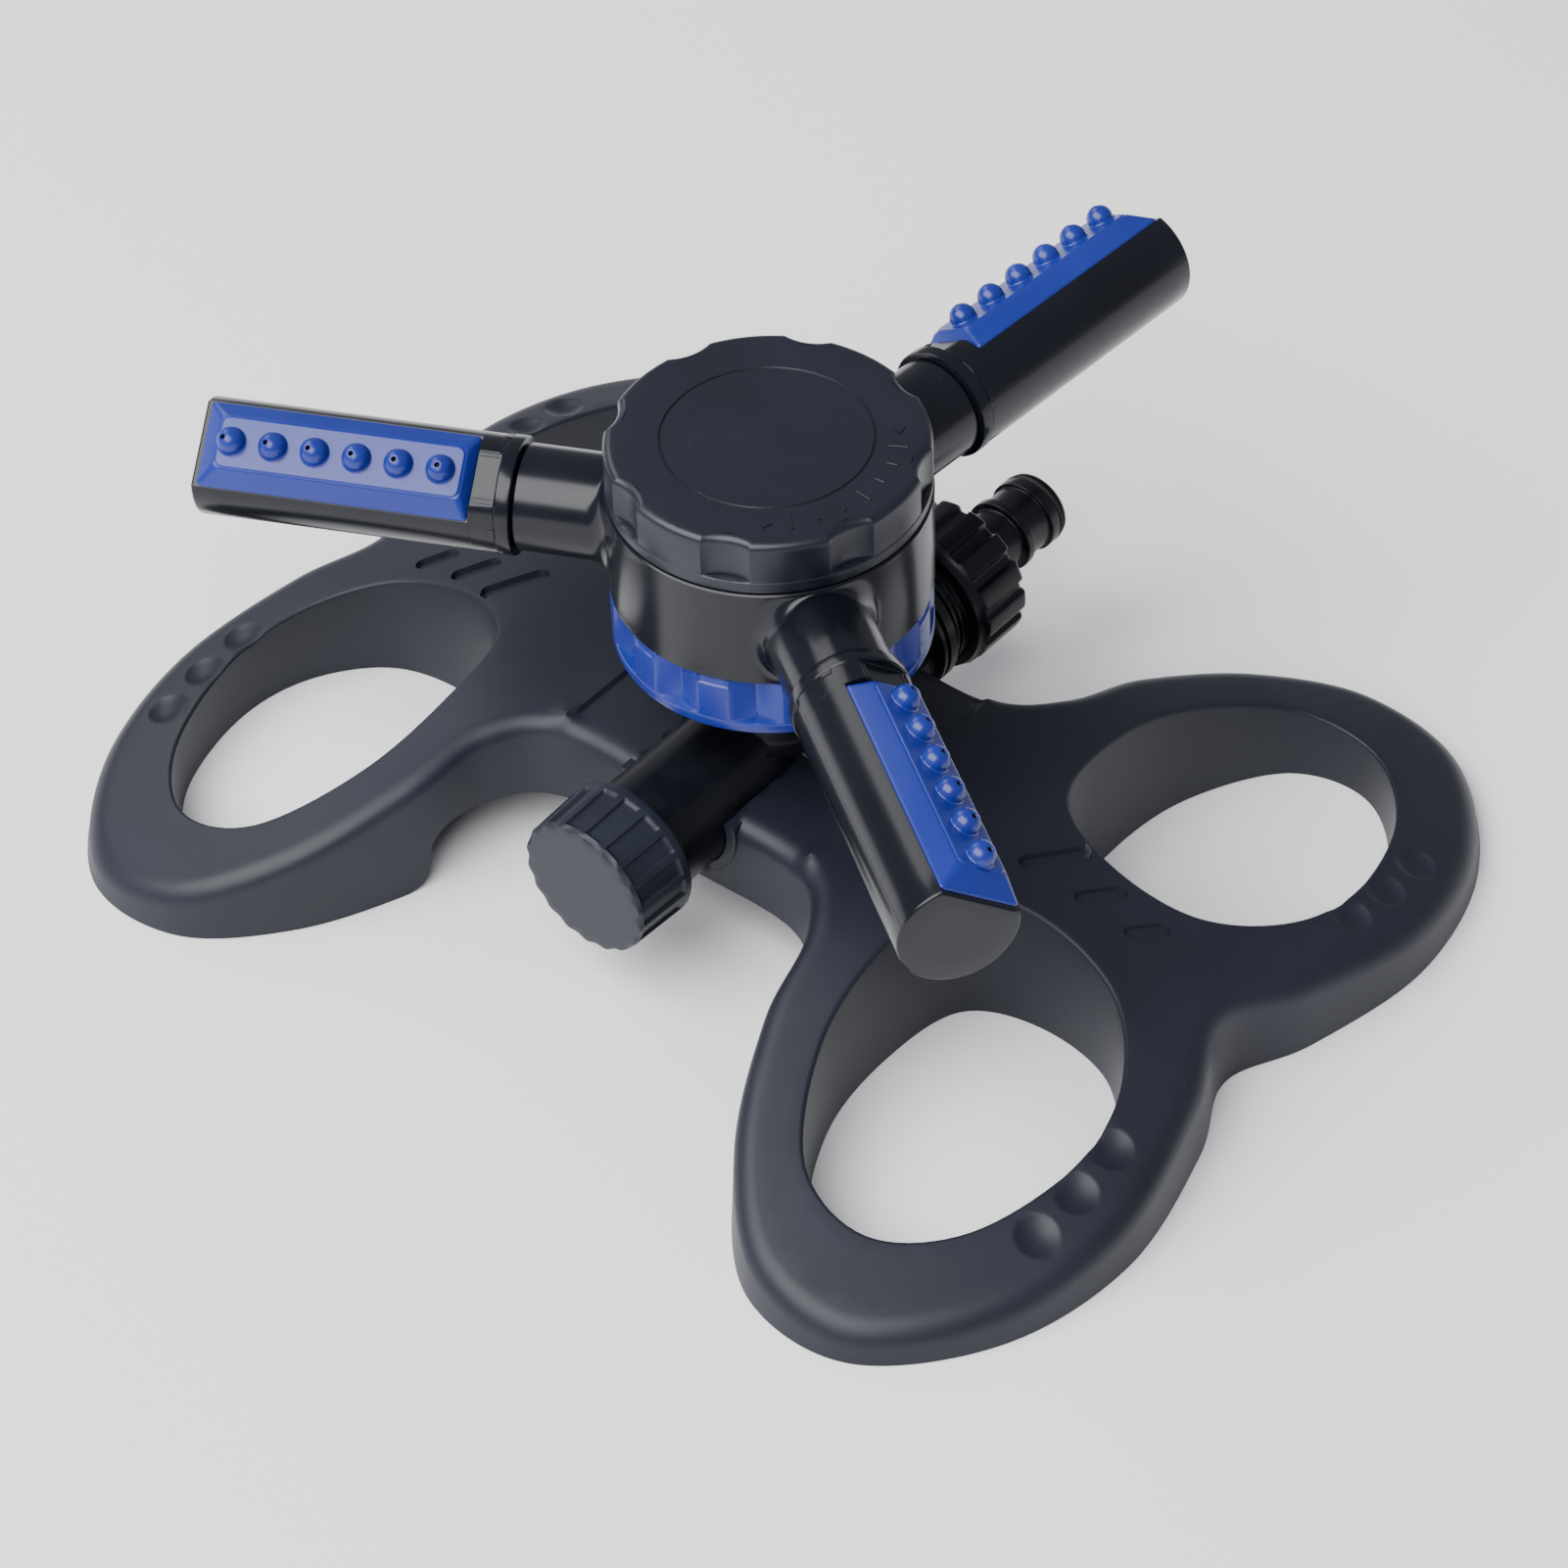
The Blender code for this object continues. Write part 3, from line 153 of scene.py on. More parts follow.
# Seals: moulded nitrile rubber, deep black and dry, with a slight bloom
nitrileRubber = mouldedPlastic("mouldedNitrileRubber", {
    "dark": "#0c0c0d", "light": "#151515", "drift": 6, "grain": 0.35, "bump": 0.012, "rough": 0.62,
    "spread": 0.06})

# Spindle, bush and thrust washers: natural acetal, milky white and waxy
naturalAcetal = mouldedPlastic("naturalAcetal", {
    "dark": "#d9d6cb", "light": "#e6e3da", "drift": 15, "grain": 0.8, "bump": 0.006, "rough": 0.36,
    "spread": 0.03, "ior": 1.48})


def turnedSteel(name, look):
    # stainless steel with fine turning marks round the piece, which stretch the highlight
    material, tree, shader, place = startMaterial(name,
            {"Metallic": 1.0, "Base Color": hexColour(look["colour"])})
    marks = addNode(tree, "ShaderNodeTexNoise", {"Scale": perMetre(look["marks"]), "Detail": 5.0},
            {"Vector": place})
    rough = addNode(tree, "ShaderNodeMapRange", {"To Min": look["rough"] - 0.08,
            "To Max": look["rough"] + 0.08}, {"Value": marks.outputs["Fac"]})
    raised = addNode(tree, "ShaderNodeBump", {"Strength": 0.6, "Distance": 0.01 * mm},
            {"Height": marks.outputs["Fac"]})
    tree.links.new(rough.outputs["Result"], shader.inputs["Roughness"])
    tree.links.new(raised.outputs["Normal"], shader.inputs["Normal"])
    return material


stainlessSteel = turnedSteel("turnedStainlessSteel", {"colour": "#b9b9bc", "marks": 0.3, "rough": 0.3})


# Mesh tools. A shell is a list of points in millimetres and a list of faces.

def joinShells(*shells):
    points = []
    faces = []
    for shell in shells:
        start = len(points)
        points += list(shell[0])
        faces += [[index + start for index in face] for face in shell[1]]
    return points, faces


def placeShell(shell, matrix):
    return [tuple(matrix @ Vector(point)) for point in shell[0]], shell[1]


def bridge(first, second, count):
    # faces between two closed loops of the same count that start at these indices
    return [[first + step, first + (step + 1) % count, second + (step + 1) % count, second + step]
            for step in range(count)]


def loft(loops, capped=False):
    # skins a row of closed loops with equal counts, and closes both ends if capped
    count = len(loops[0])
    points = [tuple(point) for loop in loops for point in loop]
    faces = []
    last = (len(loops) - 1) * count
    for start in range(0, last, count):
        faces += bridge(start, start + count, count)
    if capped:
        faces += [list(range(count))[::-1], [last + step for step in range(count)]]
    return points, faces


def softCorners(corners, steps=4):
    # each corner is (x, y, reach), and a reach above 0 turns it into a short curve
    outline = []
    for index, corner in enumerate(corners):
        here = Vector(corner[:2])
        toBefore = Vector(corners[index - 1][:2]) - here
        toAfter = Vector(corners[(index + 1) % len(corners)][:2]) - here
        reach = min(corner[2], toBefore.length * 0.49, toAfter.length * 0.49)
        if reach < 1e-4:
            outline.append(here)
            continue
        start = here + toBefore.normalized() * reach
        end = here + toAfter.normalized() * reach
        for step in range(steps + 1):
            t = step / steps
            outline.append(start * (1 - t) ** 2 + here * 2 * t * (1 - t) + end * t ** 2)
    return outline


def turnZ(radius, angle, along):
    return (radius * cos(angle), radius * sin(angle), along)


def turnY(radius, angle, along):
    return (radius * sin(angle), along, radius * cos(angle))


def turnX(radius, angle, along):
    return (along, radius * cos(angle), radius * sin(angle))


def lathe(profile, sides, spot=turnZ, closed=True, shape=None):
    # turns a profile of (radius, distance along the axis); shape may change a radius by angle and place,
    # and closed joins the profile's last point to its first
    loops = []
    for radius, along in profile:
        angles = [2 * pi * step / sides for step in range(sides)]
        loops.append([spot(shape(radius, angle, along) if shape else radius, angle, along)
                for angle in angles])
    if closed:
        loops.append(loops[0])
    return loft(loops)


def addObject(name, data):
    made = bpy.data.objects.new(name, data)
    bpy.context.scene.collection.objects.link(made)
    return made


def makePiece(name, shell, materials, body, stands=(), sharp=32, normals=None):
    mesh = bpy.data.meshes.new(name)
    points = [(x * mm, y * mm, z * mm) for x, y, z in shell[0]]
    mesh.from_pydata(points, [], shell[1])
    if not normals:           # a skin with its own normals is already welded where it needs to be
        work = bmesh.new()
        work.from_mesh(mesh)
        bmesh.ops.remove_doubles(work, verts=work.verts, dist=2e-6)
        bmesh.ops.dissolve_degenerate(work, edges=work.edges, dist=1e-6)
        bmesh.ops.recalc_face_normals(work, faces=work.faces)
        work.to_mesh(mesh)
        work.free()
    for material in materials:
        mesh.materials.append(material)
    mesh.shade_smooth()
    if normals:
        mesh.normals_split_custom_set_from_vertices(normals)
    else:
        mesh.set_sharp_from_angle(angle=radians(sharp))
    piece = addObject(name, mesh)
    if stands:
        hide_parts(*stands)
    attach(piece, body)
    return piece


def smoothStep(value):
    value = min(1.0, max(0.0, value))
    return value * value * (3 - 2 * value)


def smoothLoop(points, samples):
    # a closed Catmull-Rom curve through the points
    loop = []
    count = len(points)
    for index in range(count):
        before, start, end, after = (Vector(points[(index + shift) % count]) for shift in (-1, 0, 1, 2))
        for step in range(samples):
            t = step / samples
            loop.append(0.5 * (2 * start + (end - before) * t + (2 * before - 5 * start + 4 * end
                    - after) * t ** 2 + (3 * start - before - 3 * end + after) * t ** 3))
    return loop


def insetLoop(loop, distance):
    moved = []
    for index, point in enumerate(loop):
        along = (loop[(index + 1) % len(loop)] - loop[index - 1]).normalized()
        moved.append(point + Vector((-along.y, along.x)) * distance)
    return moved


def insideLoop(places, loop):
    # which of the places, an array of x and y, lie inside the loop
    crossings = np.zeros(len(places), bool)
    ends = [(point[0], point[1]) for point in loop]
    for (ax, ay), (bx, by) in zip(ends, ends[1:] + ends[:1]):
        if ay == by:
            continue
        spans = (ay > places[:, 1]) != (by > places[:, 1])
        crossings ^= spans & (places[:, 0] < (bx - ax) * (places[:, 1] - ay) / (by - ay) + ax)
    return crossings


def prism(outline, low, high, edge=0.0):
    # raises an outline, with a small slope at its top and bottom edges
    flat = [Vector(place) for place in outline]
    loops = []
    for inset, height in ((edge, low), (0.0, low + edge), (0.0, high - edge), (edge, high)):
        loops.append([(spot.x, spot.y, height) for spot in (insetLoop(flat, inset) if inset else flat)])
    return loft(loops, True)


def bar(near, far, half, low, high, edge):
    return prism([(near, -half), (far, -half), (far, half), (near, half)], low, high, edge)


def ribPart(angle, count):
    return abs((angle * count / (2 * pi)) % 1.0 - 0.5) * 2       # 0 in the middle of a part, 1 at its edge


def spin(degrees, axis):
    return Matrix.Rotation(radians(degrees), 4, axis)


print("tools and materials ready")

# Base

base = {
    "outline": [(127.5, 0), (136, 21), (142.5, 55), (135, 88), (113, 112.5), (86, 113), (65, 94), (52, 68),
                (46.5, 47), (33, 35.5), (0, 35.5)],
    "hole": [(124.5, 53), (117, 78), (101, 92), (82, 88), (68.5, 66), (65, 42), (69, 20), (86, 12.5),
             (107, 16),
             (121, 32)],
    "deck": 38.0,
    "deckRadius": 64.0,
    "slope": 0.335,
    "stretch": (0.88, 1.06),      # how much X and Y count in the distance from the middle
    "softness": 6.0,
    "wall": 2.4,
    # how far in and down the rounded edge reaches, and its most share of the wall
    "shoulder": (5.2, 4.6, 0.6),
    "lipShoulder": (1.1, 1.0, 0.3),    # the same at the lobes' holes
    "draft": 0.8,
    "arch": (16.5, 71.0, 6.5, 9.0),    # height, reach along Y, the corner's radius and the shoulder's
    "panel": (35.5, 0.9, 0.9),    # half width, depth and edge of the sunk middle panel
    "dimples": [(129.0, 44.0), (129.5, 57.0), (129.0, 70.0)],
    "dimple": (4.9, 1.35),        # radius and depth
    "slots": [(77.0, 3.5, 17.0), (90.0, 3.2, 12.5), (102.5, 3.5, 11.0)],
    "slotWidth": 4.6,
    "slotDepth": 1.3,
    "slotAngle": 57.0,
    "grid": 4.0,                  # spacing of the mesh points on the top
    "innerGrid": 12.0,            # the same on the plain inside
    "fineGap": 1.3,               # room that the fine points keep from the grid's
    "samples": (15, 9),           # curve points between two corners of the outline and of a hole
    "pipeHeight": 33.0,           # the pipe's axis
    "troughRadius": 14.5,
}


def signs(places):
    return [(x * sx, y * sy) for sx in (1, -1) for sy in (1, -1) for x, y in places]


def slotPlaces():
    turn = radians(base["slotAngle"])
    return [(side * x, side * y, length, turn) for side in (1, -1) for x, y, length in base["slots"]]


def slotDistance(x, y, place):
    # how far outside a slot's rounded outline the point is
    across = (x - place[0]) * cos(place[3]) + (y - place[1]) * sin(place[3])
    beside = -(x - place[0]) * sin(place[3]) + (y - place[1]) * cos(place[3])
    reach = max(0.0, abs(across) - (place[2] - base["slotWidth"]) / 2)
    return hypot(reach, beside) - base["slotWidth"] / 2


def plainTop(x, y):
    beyond = hypot(x * base["stretch"][0], y * base["stretch"][1]) - base["deckRadius"]
    return base["deck"] - base["slope"] * base["softness"] * log1p(exp(beyond / base["softness"]))


def detailedTop(x, y):
    height = plainTop(x, y)
    half, depth, edge = base["panel"]
    height -= depth * smoothStep((half - abs(x)) / edge)
    # small pips on the panel's edge
    height += 1.0 * exp(-((abs(x) - half - 0.6) ** 2 + (abs(y) - 31) ** 2) / 5)
    radius, deep = base["dimple"]
    for cx, cy in base["dimples"]:
        away = hypot(abs(x) - cx, abs(y) - cy)
        if away < radius:
            height -= deep * (1 - (away / radius) ** 2)
    for place in slotPlaces():
        out = slotDistance(x, y, place)
        if out < 0:
            height -= base["slotDepth"] * smoothStep(-out / 0.6)
    return height


def archHeight(y, x):
    # the outer wall's foot: a round corner off the ground, then a round shoulder up to the arch
    height, end, corner, shoulder = base["arch"]
    into = end - abs(y)
    if into <= 0 or abs(x) > end:
        return 0.0
    if into < corner:
        return corner - sqrt(corner ** 2 - into ** 2)
    rise = height - corner - shoulder
    back = max(0.0, shoulder - (into - corner))
    return height - shoulder + sqrt(shoulder ** 2 - back ** 2) if into > corner + 0.6 else corner + rise


def detailPlaces():
    # extra points where the top has fine features, so that the mesh follows them
    half, _, edge = base["panel"]
    places = [(side * across, row * 2.0) for row in range(-22, 23) for across in (half - edge,
            half - edge / 2, half, half + 0.8) for side in (1, -1)]
    for cx, cy in signs(base["dimples"]):
        for ring in (0.0, 1.2, 2.4, 3.6, 4.5, 4.9, 5.5):
            for step in range(20 if ring else 1):
                angle = 2 * pi * step / 20
                places.append((cx + ring * cos(angle), cy + ring * sin(angle)))
    for x, y, length, turn in slotPlaces():
        for margin in (0.5, 0.0, -0.3, -0.6, -1.4):
            radius = base["slotWidth"] / 2 + margin
            straight = (length - base["slotWidth"]) / 2
            for side in (1, -1):
                bends = [-pi / 2 + pi * step / 8 for step in range(9)]
                spots = [(side * (straight + radius * cos(a)), side * radius * sin(a)) for a in bends]
                spots += [(-straight + 2 * straight * step / 8, side * radius) for step in range(1, 8)]
                places += [(x + u * cos(turn) - v * sin(turn), y + u * sin(turn) + v * cos(turn)) for u,
                        v in spots]
    return places


def distanceTo(grid, places):
    away = np.full(len(grid), 99.0)
    for place in places:
        away = np.minimum(away, np.hypot(grid[:, 0] - place[0], grid[:, 1] - place[1]))
    return away


def insideSkin(places, borders):
    # inside the outline, which is the first border, and outside the holes
    kept = insideLoop(places, borders[0])
    for border in borders[1:]:
        kept &= ~insideLoop(places, border)
    return kept


def baseSkin(outline, holes, depth, top, spacing, extra):
    # one skin of the shell: its outer one at depth 0, its inner one a wall below it
    steps = 7 if depth == 0 else 2
    points = []
    faces = []

    def addLoop(loop, heights):
        start = len(points)
        points.extend((spot.x, spot.y, height) for spot, height in zip(loop, heights))
        return start

    def edgeRings(loop, sense, shoulder, foot):
        # from the wall's foot, up the wall and over the rounded edge
        spots = insetLoop(loop, sense * depth)
        rows = [addLoop(spots, [foot(spot) for spot in spots])]
        for step in range(steps + 1):
            bend = pi / 2 * step / steps
            reach = base["draft"] + shoulder[0] * (1 - cos(bend))
            spots = insetLoop(loop, sense * (depth + reach * (1 if depth == 0 else 0.5)))
            heights = []
            for spot in spots:
                skin = top(spot.x, spot.y) - depth
                drop = min(shoulder[1], shoulder[2] * (skin - foot(spot)))
                heights.append(skin - drop * (1 - sin(bend)))
            rows.append(addLoop(spots, heights))
        for low, high in zip(rows, rows[1:]):
            faces.extend(bridge(low, high, len(loop)))
        return rows[0], rows[-1], spots

    rim, brow, browSpots = edgeRings(outline, 1, base["shoulder"], lambda spot: archHeight(spot.y, spot.x))
    borders = [browSpots]
    starts = [brow]
    holeRims = []
    for hole in holes:
        low, high, spots = edgeRings(hole, -1, base["lipShoulder"], lambda spot: 0.0)
        holeRims.append(low)
        borders.append(spots)
        starts.append(high)
    known = []
    edges = []
    for border, start in zip(borders, starts):
        first = len(known)
        known += [start + step for step in range(len(border))]
        edges += [(first + step, first + (step + 1) % len(border)) for step in range(len(border))]
    ring = np.array([(spot.x, spot.y) for border in borders for spot in border])
    reach = int(150 / spacing)
    grid = [((column + 0.5 * (row % 2)) * spacing, row * spacing * 0.87) for column in range(-reach,
            reach + 1) for row in range(-reach - 6, reach + 7)]
    grid = np.array(grid)
    if extra:
        fine = np.array(extra)
        grid = np.concatenate([grid[distanceTo(grid, fine) > base["fineGap"]], fine])
    grid = grid[distanceTo(grid, ring) > min(1.2, spacing * 0.3)]
    grid = grid[insideSkin(grid, borders)]
    places = [Vector(place) for place in ring] + [Vector(place) for place in grid]
    outPlaces, _, outFaces, sources, _, _ = delaunay_2d_cdt(places, edges, [], 1, 1e-5)
    indices = []
    for place, source in zip(outPlaces, sources):
        if source and source[0] < len(known):
            indices.append(known[source[0]])
        else:
            indices.append(len(points))
            points.append((place.x, place.y, top(place.x, place.y) - depth))
    middles = np.array([sum((outPlaces[index] for index in face), Vector((0, 0))) / 3 for face in outFaces])
    kept = insideSkin(middles, borders)
    faces.extend([indices[index] for index in face] for face, keep in zip(outFaces, kept) if keep)
    return points, faces, rim, holeRims


def makeBase():
    quadrant = base["outline"]
    upper = quadrant + [(-x, y) for x, y in reversed(quadrant[:-1])]
    outline = smoothLoop(upper + [(x, -y) for x, y in reversed(upper[1:-1])], base["samples"][0])
    holes = []
    # a mirrored loop is turned round, to keep its sense
    for sx, sy in ((1, 1), (-1, 1), (-1, -1), (1, -1)):
        loop = [(x * sx, y * sy) for x, y in base["hole"]]
        holes.append(smoothLoop(loop if sx * sy > 0 else loop[::-1], base["samples"][1]))
    outer = baseSkin(outline, holes, 0.0, detailedTop, base["grid"], detailPlaces())
    inner = baseSkin(outline, holes, base["wall"], plainTop, base["innerGrid"], [])
    points, faces = joinShells(outer[:2], inner[:2])
    shift = len(outer[0])
    faces += bridge(outer[2], inner[2] + shift, len(outline))
    for first, second, hole in zip(outer[3], inner[3], holes):
        faces += bridge(first, second + shift, len(hole))
    piece = makePiece("baseShell", (points, faces), [basePolypropylene], "base",
            ["base_shell"], 38)
    cutter = makePiece("troughCutter", lathe([(0.01, -90), (base["troughRadius"], -90),
            (base["troughRadius"], 90), (0.01, 90)], 64, turnY), [], "base")
    cutter.location.z = base["pipeHeight"] * mm
    cut = piece.modifiers.new("trough", "BOOLEAN")
    cut.operation = "DIFFERENCE"
    cut.object = cutter
    bpy.context.view_layer.update()
    graph = bpy.context.evaluated_depsgraph_get()
    result = bpy.data.meshes.new_from_object(piece.evaluated_get(graph))
    piece.modifiers.clear()
    piece.data = result
    bpy.data.objects.remove(cutter, do_unlink=True)


frameUnder = {
    "postRadius": 11.0,
    "ribReach": 54.0,
    "ribHalf": 1.2,
    "bossRadius": 4.2,
    "bossHole": 2.0,
    "bossBottom": 23.0,
    "screws": [(25.0, 6.5), (25.0, -6.5), (-25.0, 6.5), (-25.0, -6.5)],
}


def makeUnderframe():
    bossRadius, bossHole, bossLow = (frameUnder[key] for key in ("bossRadius", "bossHole", "bossBottom"))
    radius = base["troughRadius"]
    height = base["pipeHeight"]
    wall = base["wall"]
    low = -radians(110)
    cradle = []
    for y in (-35.0, -34.6, 34.6, 35.0):
        thick = wall if abs(y) < 34.8 else wall - 0.4
        arc = [low + 2 * -low * step / 32 for step in range(33)]
        under = [(sin(a) * (radius + thick), y, height - cos(a) * (radius + thick)) for a in arc]
        over = [(sin(a) * radius, y, height - cos(a) * radius) for a in reversed(arc)]
        cradle.append(under + over)
    trimmed = [[(x, y, min(z, base["deck"] - 1.6)) for x, y, z in loop] for loop in cradle]
    floor = height - radius - wall
    post = frameUnder["postRadius"]
    hub = lathe([(0.01, 0), (post - 0.6, 0), (post, 0.6), (post, floor + 1.5), (post + 1.4, floor + 2.4),
            (0.01, floor + 2.4)], 48)
    ribs = []
    for side in (1, -1):
        near, far = sorted((side * (post - 1), side * frameUnder["ribReach"]))
        half = frameUnder["ribHalf"]
        ribs.append(bar(near, far, half, 2.0, base["deck"] - 2.0, 0.3))
    bosses = []
    for x, y in frameUnder["screws"]:
        boss = lathe([(bossHole, bossLow), (bossRadius - 0.3, bossLow), (bossRadius, bossLow + 0.3),
                (bossRadius, base["deck"] - 2.2), (bossHole, base["deck"] - 2.2)], 24)
        bosses.append(placeShell(boss, Matrix.Translation((x, y, 0))))
    shell = joinShells(loft(trimmed, True), hub, *ribs, *bosses)
    makePiece("basePostAndRib", shell, [basePolypropylene], "base", ["base_shell"])


makeBase()
makeUnderframe()
print("base made")

# Water pipe

pipe = {
    "height": base["pipeHeight"],
    "radius": 14.2,
    "bore": 9.5,
    "closedEnd": -62.0,
    "openEnd": 64.0,
    "collar": (40.0, 46.0, 16.6),
    "thread": 15.2,
    "capThread": (13.0, 12.5),
    "pitch": 1.814,
    "threadDepth": 0.7,
    "threadFade": 1.2,        # length over which a thread dies out at its ends
    "neckRadius": 17.0,
    "neckTop": 57.0,
    "socket": (9.3, 45.0),
    "ear": (31.0, 11.0, 4.0),
    "seat": 38.3,
    "sides": 96,
}
pipeUp = Matrix.Translation((0, 0, pipe["height"]))


def threadShape(low, high):
    def shape(radius, angle, along):
        if not low < along < high or radius < pipe["bore"] + 1:
            return radius
        turnPart = ((along - low) / pipe["pitch"] + angle / (2 * pi)) % 1.0
        fade = min(1.0, (along - low) / pipe["threadFade"], (high - along) / pipe["threadFade"])
        return radius - pipe["threadDepth"] * fade * smoothStep(abs(turnPart - 0.5) * 3.2 - 0.35)
    return shape


def makePipe():
    sides = pipe["sides"]
    bore = pipe["bore"]
    radius = pipe["radius"]
    start = pipe["closedEnd"]
    end = pipe["openEnd"]
    capRadius, capLength = pipe["capThread"]
    low, high, wide = pipe["collar"]
    thread = pipe["thread"]
    capRows = [(capRadius, start + 0.6 + step * 0.25) for step in range(int((capLength - 1.0) / 0.25))]
    rows = [(thread, high + 1.6 + step * 0.25) for step in range(int((end - high - 2.4) / 0.25))]
    profile = [(bore, start), (capRadius - 0.5, start), (capRadius, start + 0.5)] + capRows
    profile += [(capRadius, start + capLength), (radius - 0.4, start + capLength),
            (radius, start + capLength + 0.4)]
    profile += [(radius, low - 1.6), (radius + 0.5, low - 0.5), (wide - 0.3, low + 0.4), (wide, low + 0.8),
            (wide, low + 1.9), (wide - 0.9, low + 2.1), (wide - 0.9, low + 2.9), (wide, low + 3.1),
            (wide, high - 0.4), (wide - 0.4, high), (thread - 0.8, high), (thread - 0.8, high + 1.2),
            (thread, high + 1.5)]
    profile += rows + [(thread, end - 0.6), (thread - 0.6, end), (bore, end)]
    capThread = threadShape(start, start + capLength)
    nutThread = threadShape(high + 1.2, end)

    def shape(radiusHere, angle, along):
        return nutThread(capThread(radiusHere, angle, along), angle, along)

    tubeShell = placeShell(lathe(profile, sides, turnY, True, shape), pipeUp)
    neck = pipe["neckRadius"]
    top = pipe["neckTop"]
    seat = pipe["seat"]
    socket, socketFloor = pipe["socket"]
    earThick = pipe["ear"][2]
    neckShell = lathe([(7.0, seat + 1), (neck + 3.0, seat + earThick - 0.2),
            (neck + 1.6, seat + earThick + 0.2), (neck + 0.5, seat + earThick + 1.0),
            (neck, seat + earThick + 2.4), (neck, top - 0.8), (neck - 0.2, top - 0.25), (neck - 0.8, top),
            (socket, top), (socket, socketFloor), (7.0, socketFloor)], 72)
    shells = [tubeShell, neckShell]
    reach, half, thick = pipe["ear"]
    for side in (1, -1):
        corners = [(side * 9, -half, 0), (side * reach, -half, 5.0), (side * reach, half, 5.0),
                (side * 9, half, 0)]
        if side < 0:
            corners = corners[::-1]
        shells.append(prism(softCorners(corners, 8), seat, seat + thick, 0.5))
    makePiece("waterPipe", joinShells(*shells), [glassFilledNylon], "base",
            ["manifold_pipe"])


screw = {"head": 3.6, "rise": 2.4, "shank": 1.7, "length": 14.0, "recess": 1.7, "slotHalf": 0.45,
        "seat": 42.6}


def makeScrews():
    shank, length, rise = (screw[key] for key in ("shank", "length", "rise"))
    seat = screw["seat"]
    head = screw["head"]
    for index, (x, y) in enumerate(frameUnder["screws"]):
        profile = [(0.01, seat - length), (shank, seat - length + 3)]
        for step in range(12):
            profile += [(shank, seat - 9.0 + step * 0.75), (shank - 0.35, seat - 8.7 + step * 0.75)]
        profile += [(shank, seat), (head - 0.1, seat), (head, seat + 0.3),
                (head * 0.97, seat + rise * 0.45), (head * 0.82, seat + rise * 0.78),
                (head * 0.62, seat + rise * 0.94)]
        shells = [lathe(profile, 32, turnZ, False)]
        # the cross recess: a crown that dips inside four arms
        rings = []
        for wide in (head * 0.62, head * 0.56, 1.75, 1.55, 1.3, 1.0, 0.8, 0.62, 0.45, 0.01):
            ring = []
            for step in range(32):
                angle = 2 * pi * step / 32
                px, py = wide * cos(angle), wide * sin(angle)
                inArm = min(abs(px), abs(py)) < screw["slotHalf"] and max(abs(px), abs(py)) < screw["recess"]
                ring.append((px, py, seat + rise * 0.94 + (0.1 if not inArm else -0.9 - 0.4 * (1.7 - wide))))
            rings.append(ring)
        rings[0] = [(px, py, seat + rise * 0.94) for px, py, z in rings[0]]
        shells.append(loft(rings))
        shell = placeShell(joinShells(*shells), Matrix.Translation((x, y, 0)) @ Matrix.Rotation(0.4 + index,
                4, "Z"))
        makePiece(f"earScrew{index + 1}", shell, [stainlessSteel], "base",
                [f"ear_screw_{index + 1}"])


endCap = {"face": -66.8, "length": 17.0, "radius": 17.5, "faceRadius": 16.7, "bore": 13.3, "mouth": 14.5,
        "floor": 3.0, "panels": 18, "panelDepth": 0.75, "panelPart": 0.74}


def makeEndCap():
    mouth, bore, floor, length = (endCap[key] for key in ("mouth", "bore", "floor", "length"))
    face = endCap["face"]
    rim = face + length
    wide = endCap["radius"]
    narrow = endCap["faceRadius"]
    panels = endCap["panels"]

    def shape(radius, angle, along):
        if radius < narrow - 0.6:
            return radius
        part = ribPart(angle, panels)
        grip = smoothStep((endCap["panelPart"] - part) / 0.14)
        band = smoothStep((along - face - 1.2) / 0.5) * smoothStep((rim - 2.6 - along) / 0.4)
        wave = 0.35 * smoothStep((face + 1.6 - along) / 1.6) * cos(pi * part)
        return radius - endCap["panelDepth"] * grip * band - wave

    profile = [(0.01, face), (narrow - 3.0, face), (narrow - 1.0, face), (narrow - 0.4, face + 0.12),
            (narrow, face + 0.6), (narrow + 0.3, face + 1.2)]
    for step in range(28):
        along = face + 1.5 + step * (length - 3.9) / 27
        profile.append((narrow + 0.3 + (wide - narrow - 0.3) * step / 27, along))
    profile += [(wide, rim - 2.3), (wide, rim - 0.7), (wide - 0.25, rim - 0.2), (wide - 0.8, rim)]
    profile += [(mouth, rim), (bore, rim - 1.2), (bore, face + floor), (0.01, face + floor)]
    shell = placeShell(lathe(profile, panels * 16, turnY, False, shape), pipeUp)
    makePiece("endCap", shell, [talcPolypropylene], "end_cap_body", ["end_cap"], 40)


nut = {"start": 52.0, "end": 69.5, "radius": 18.6, "near": 17.6, "bore": 15.5, "neckHole": 7.9,
        "floor": 2.0, "ribs": 14, "ribDepth": 1.5}


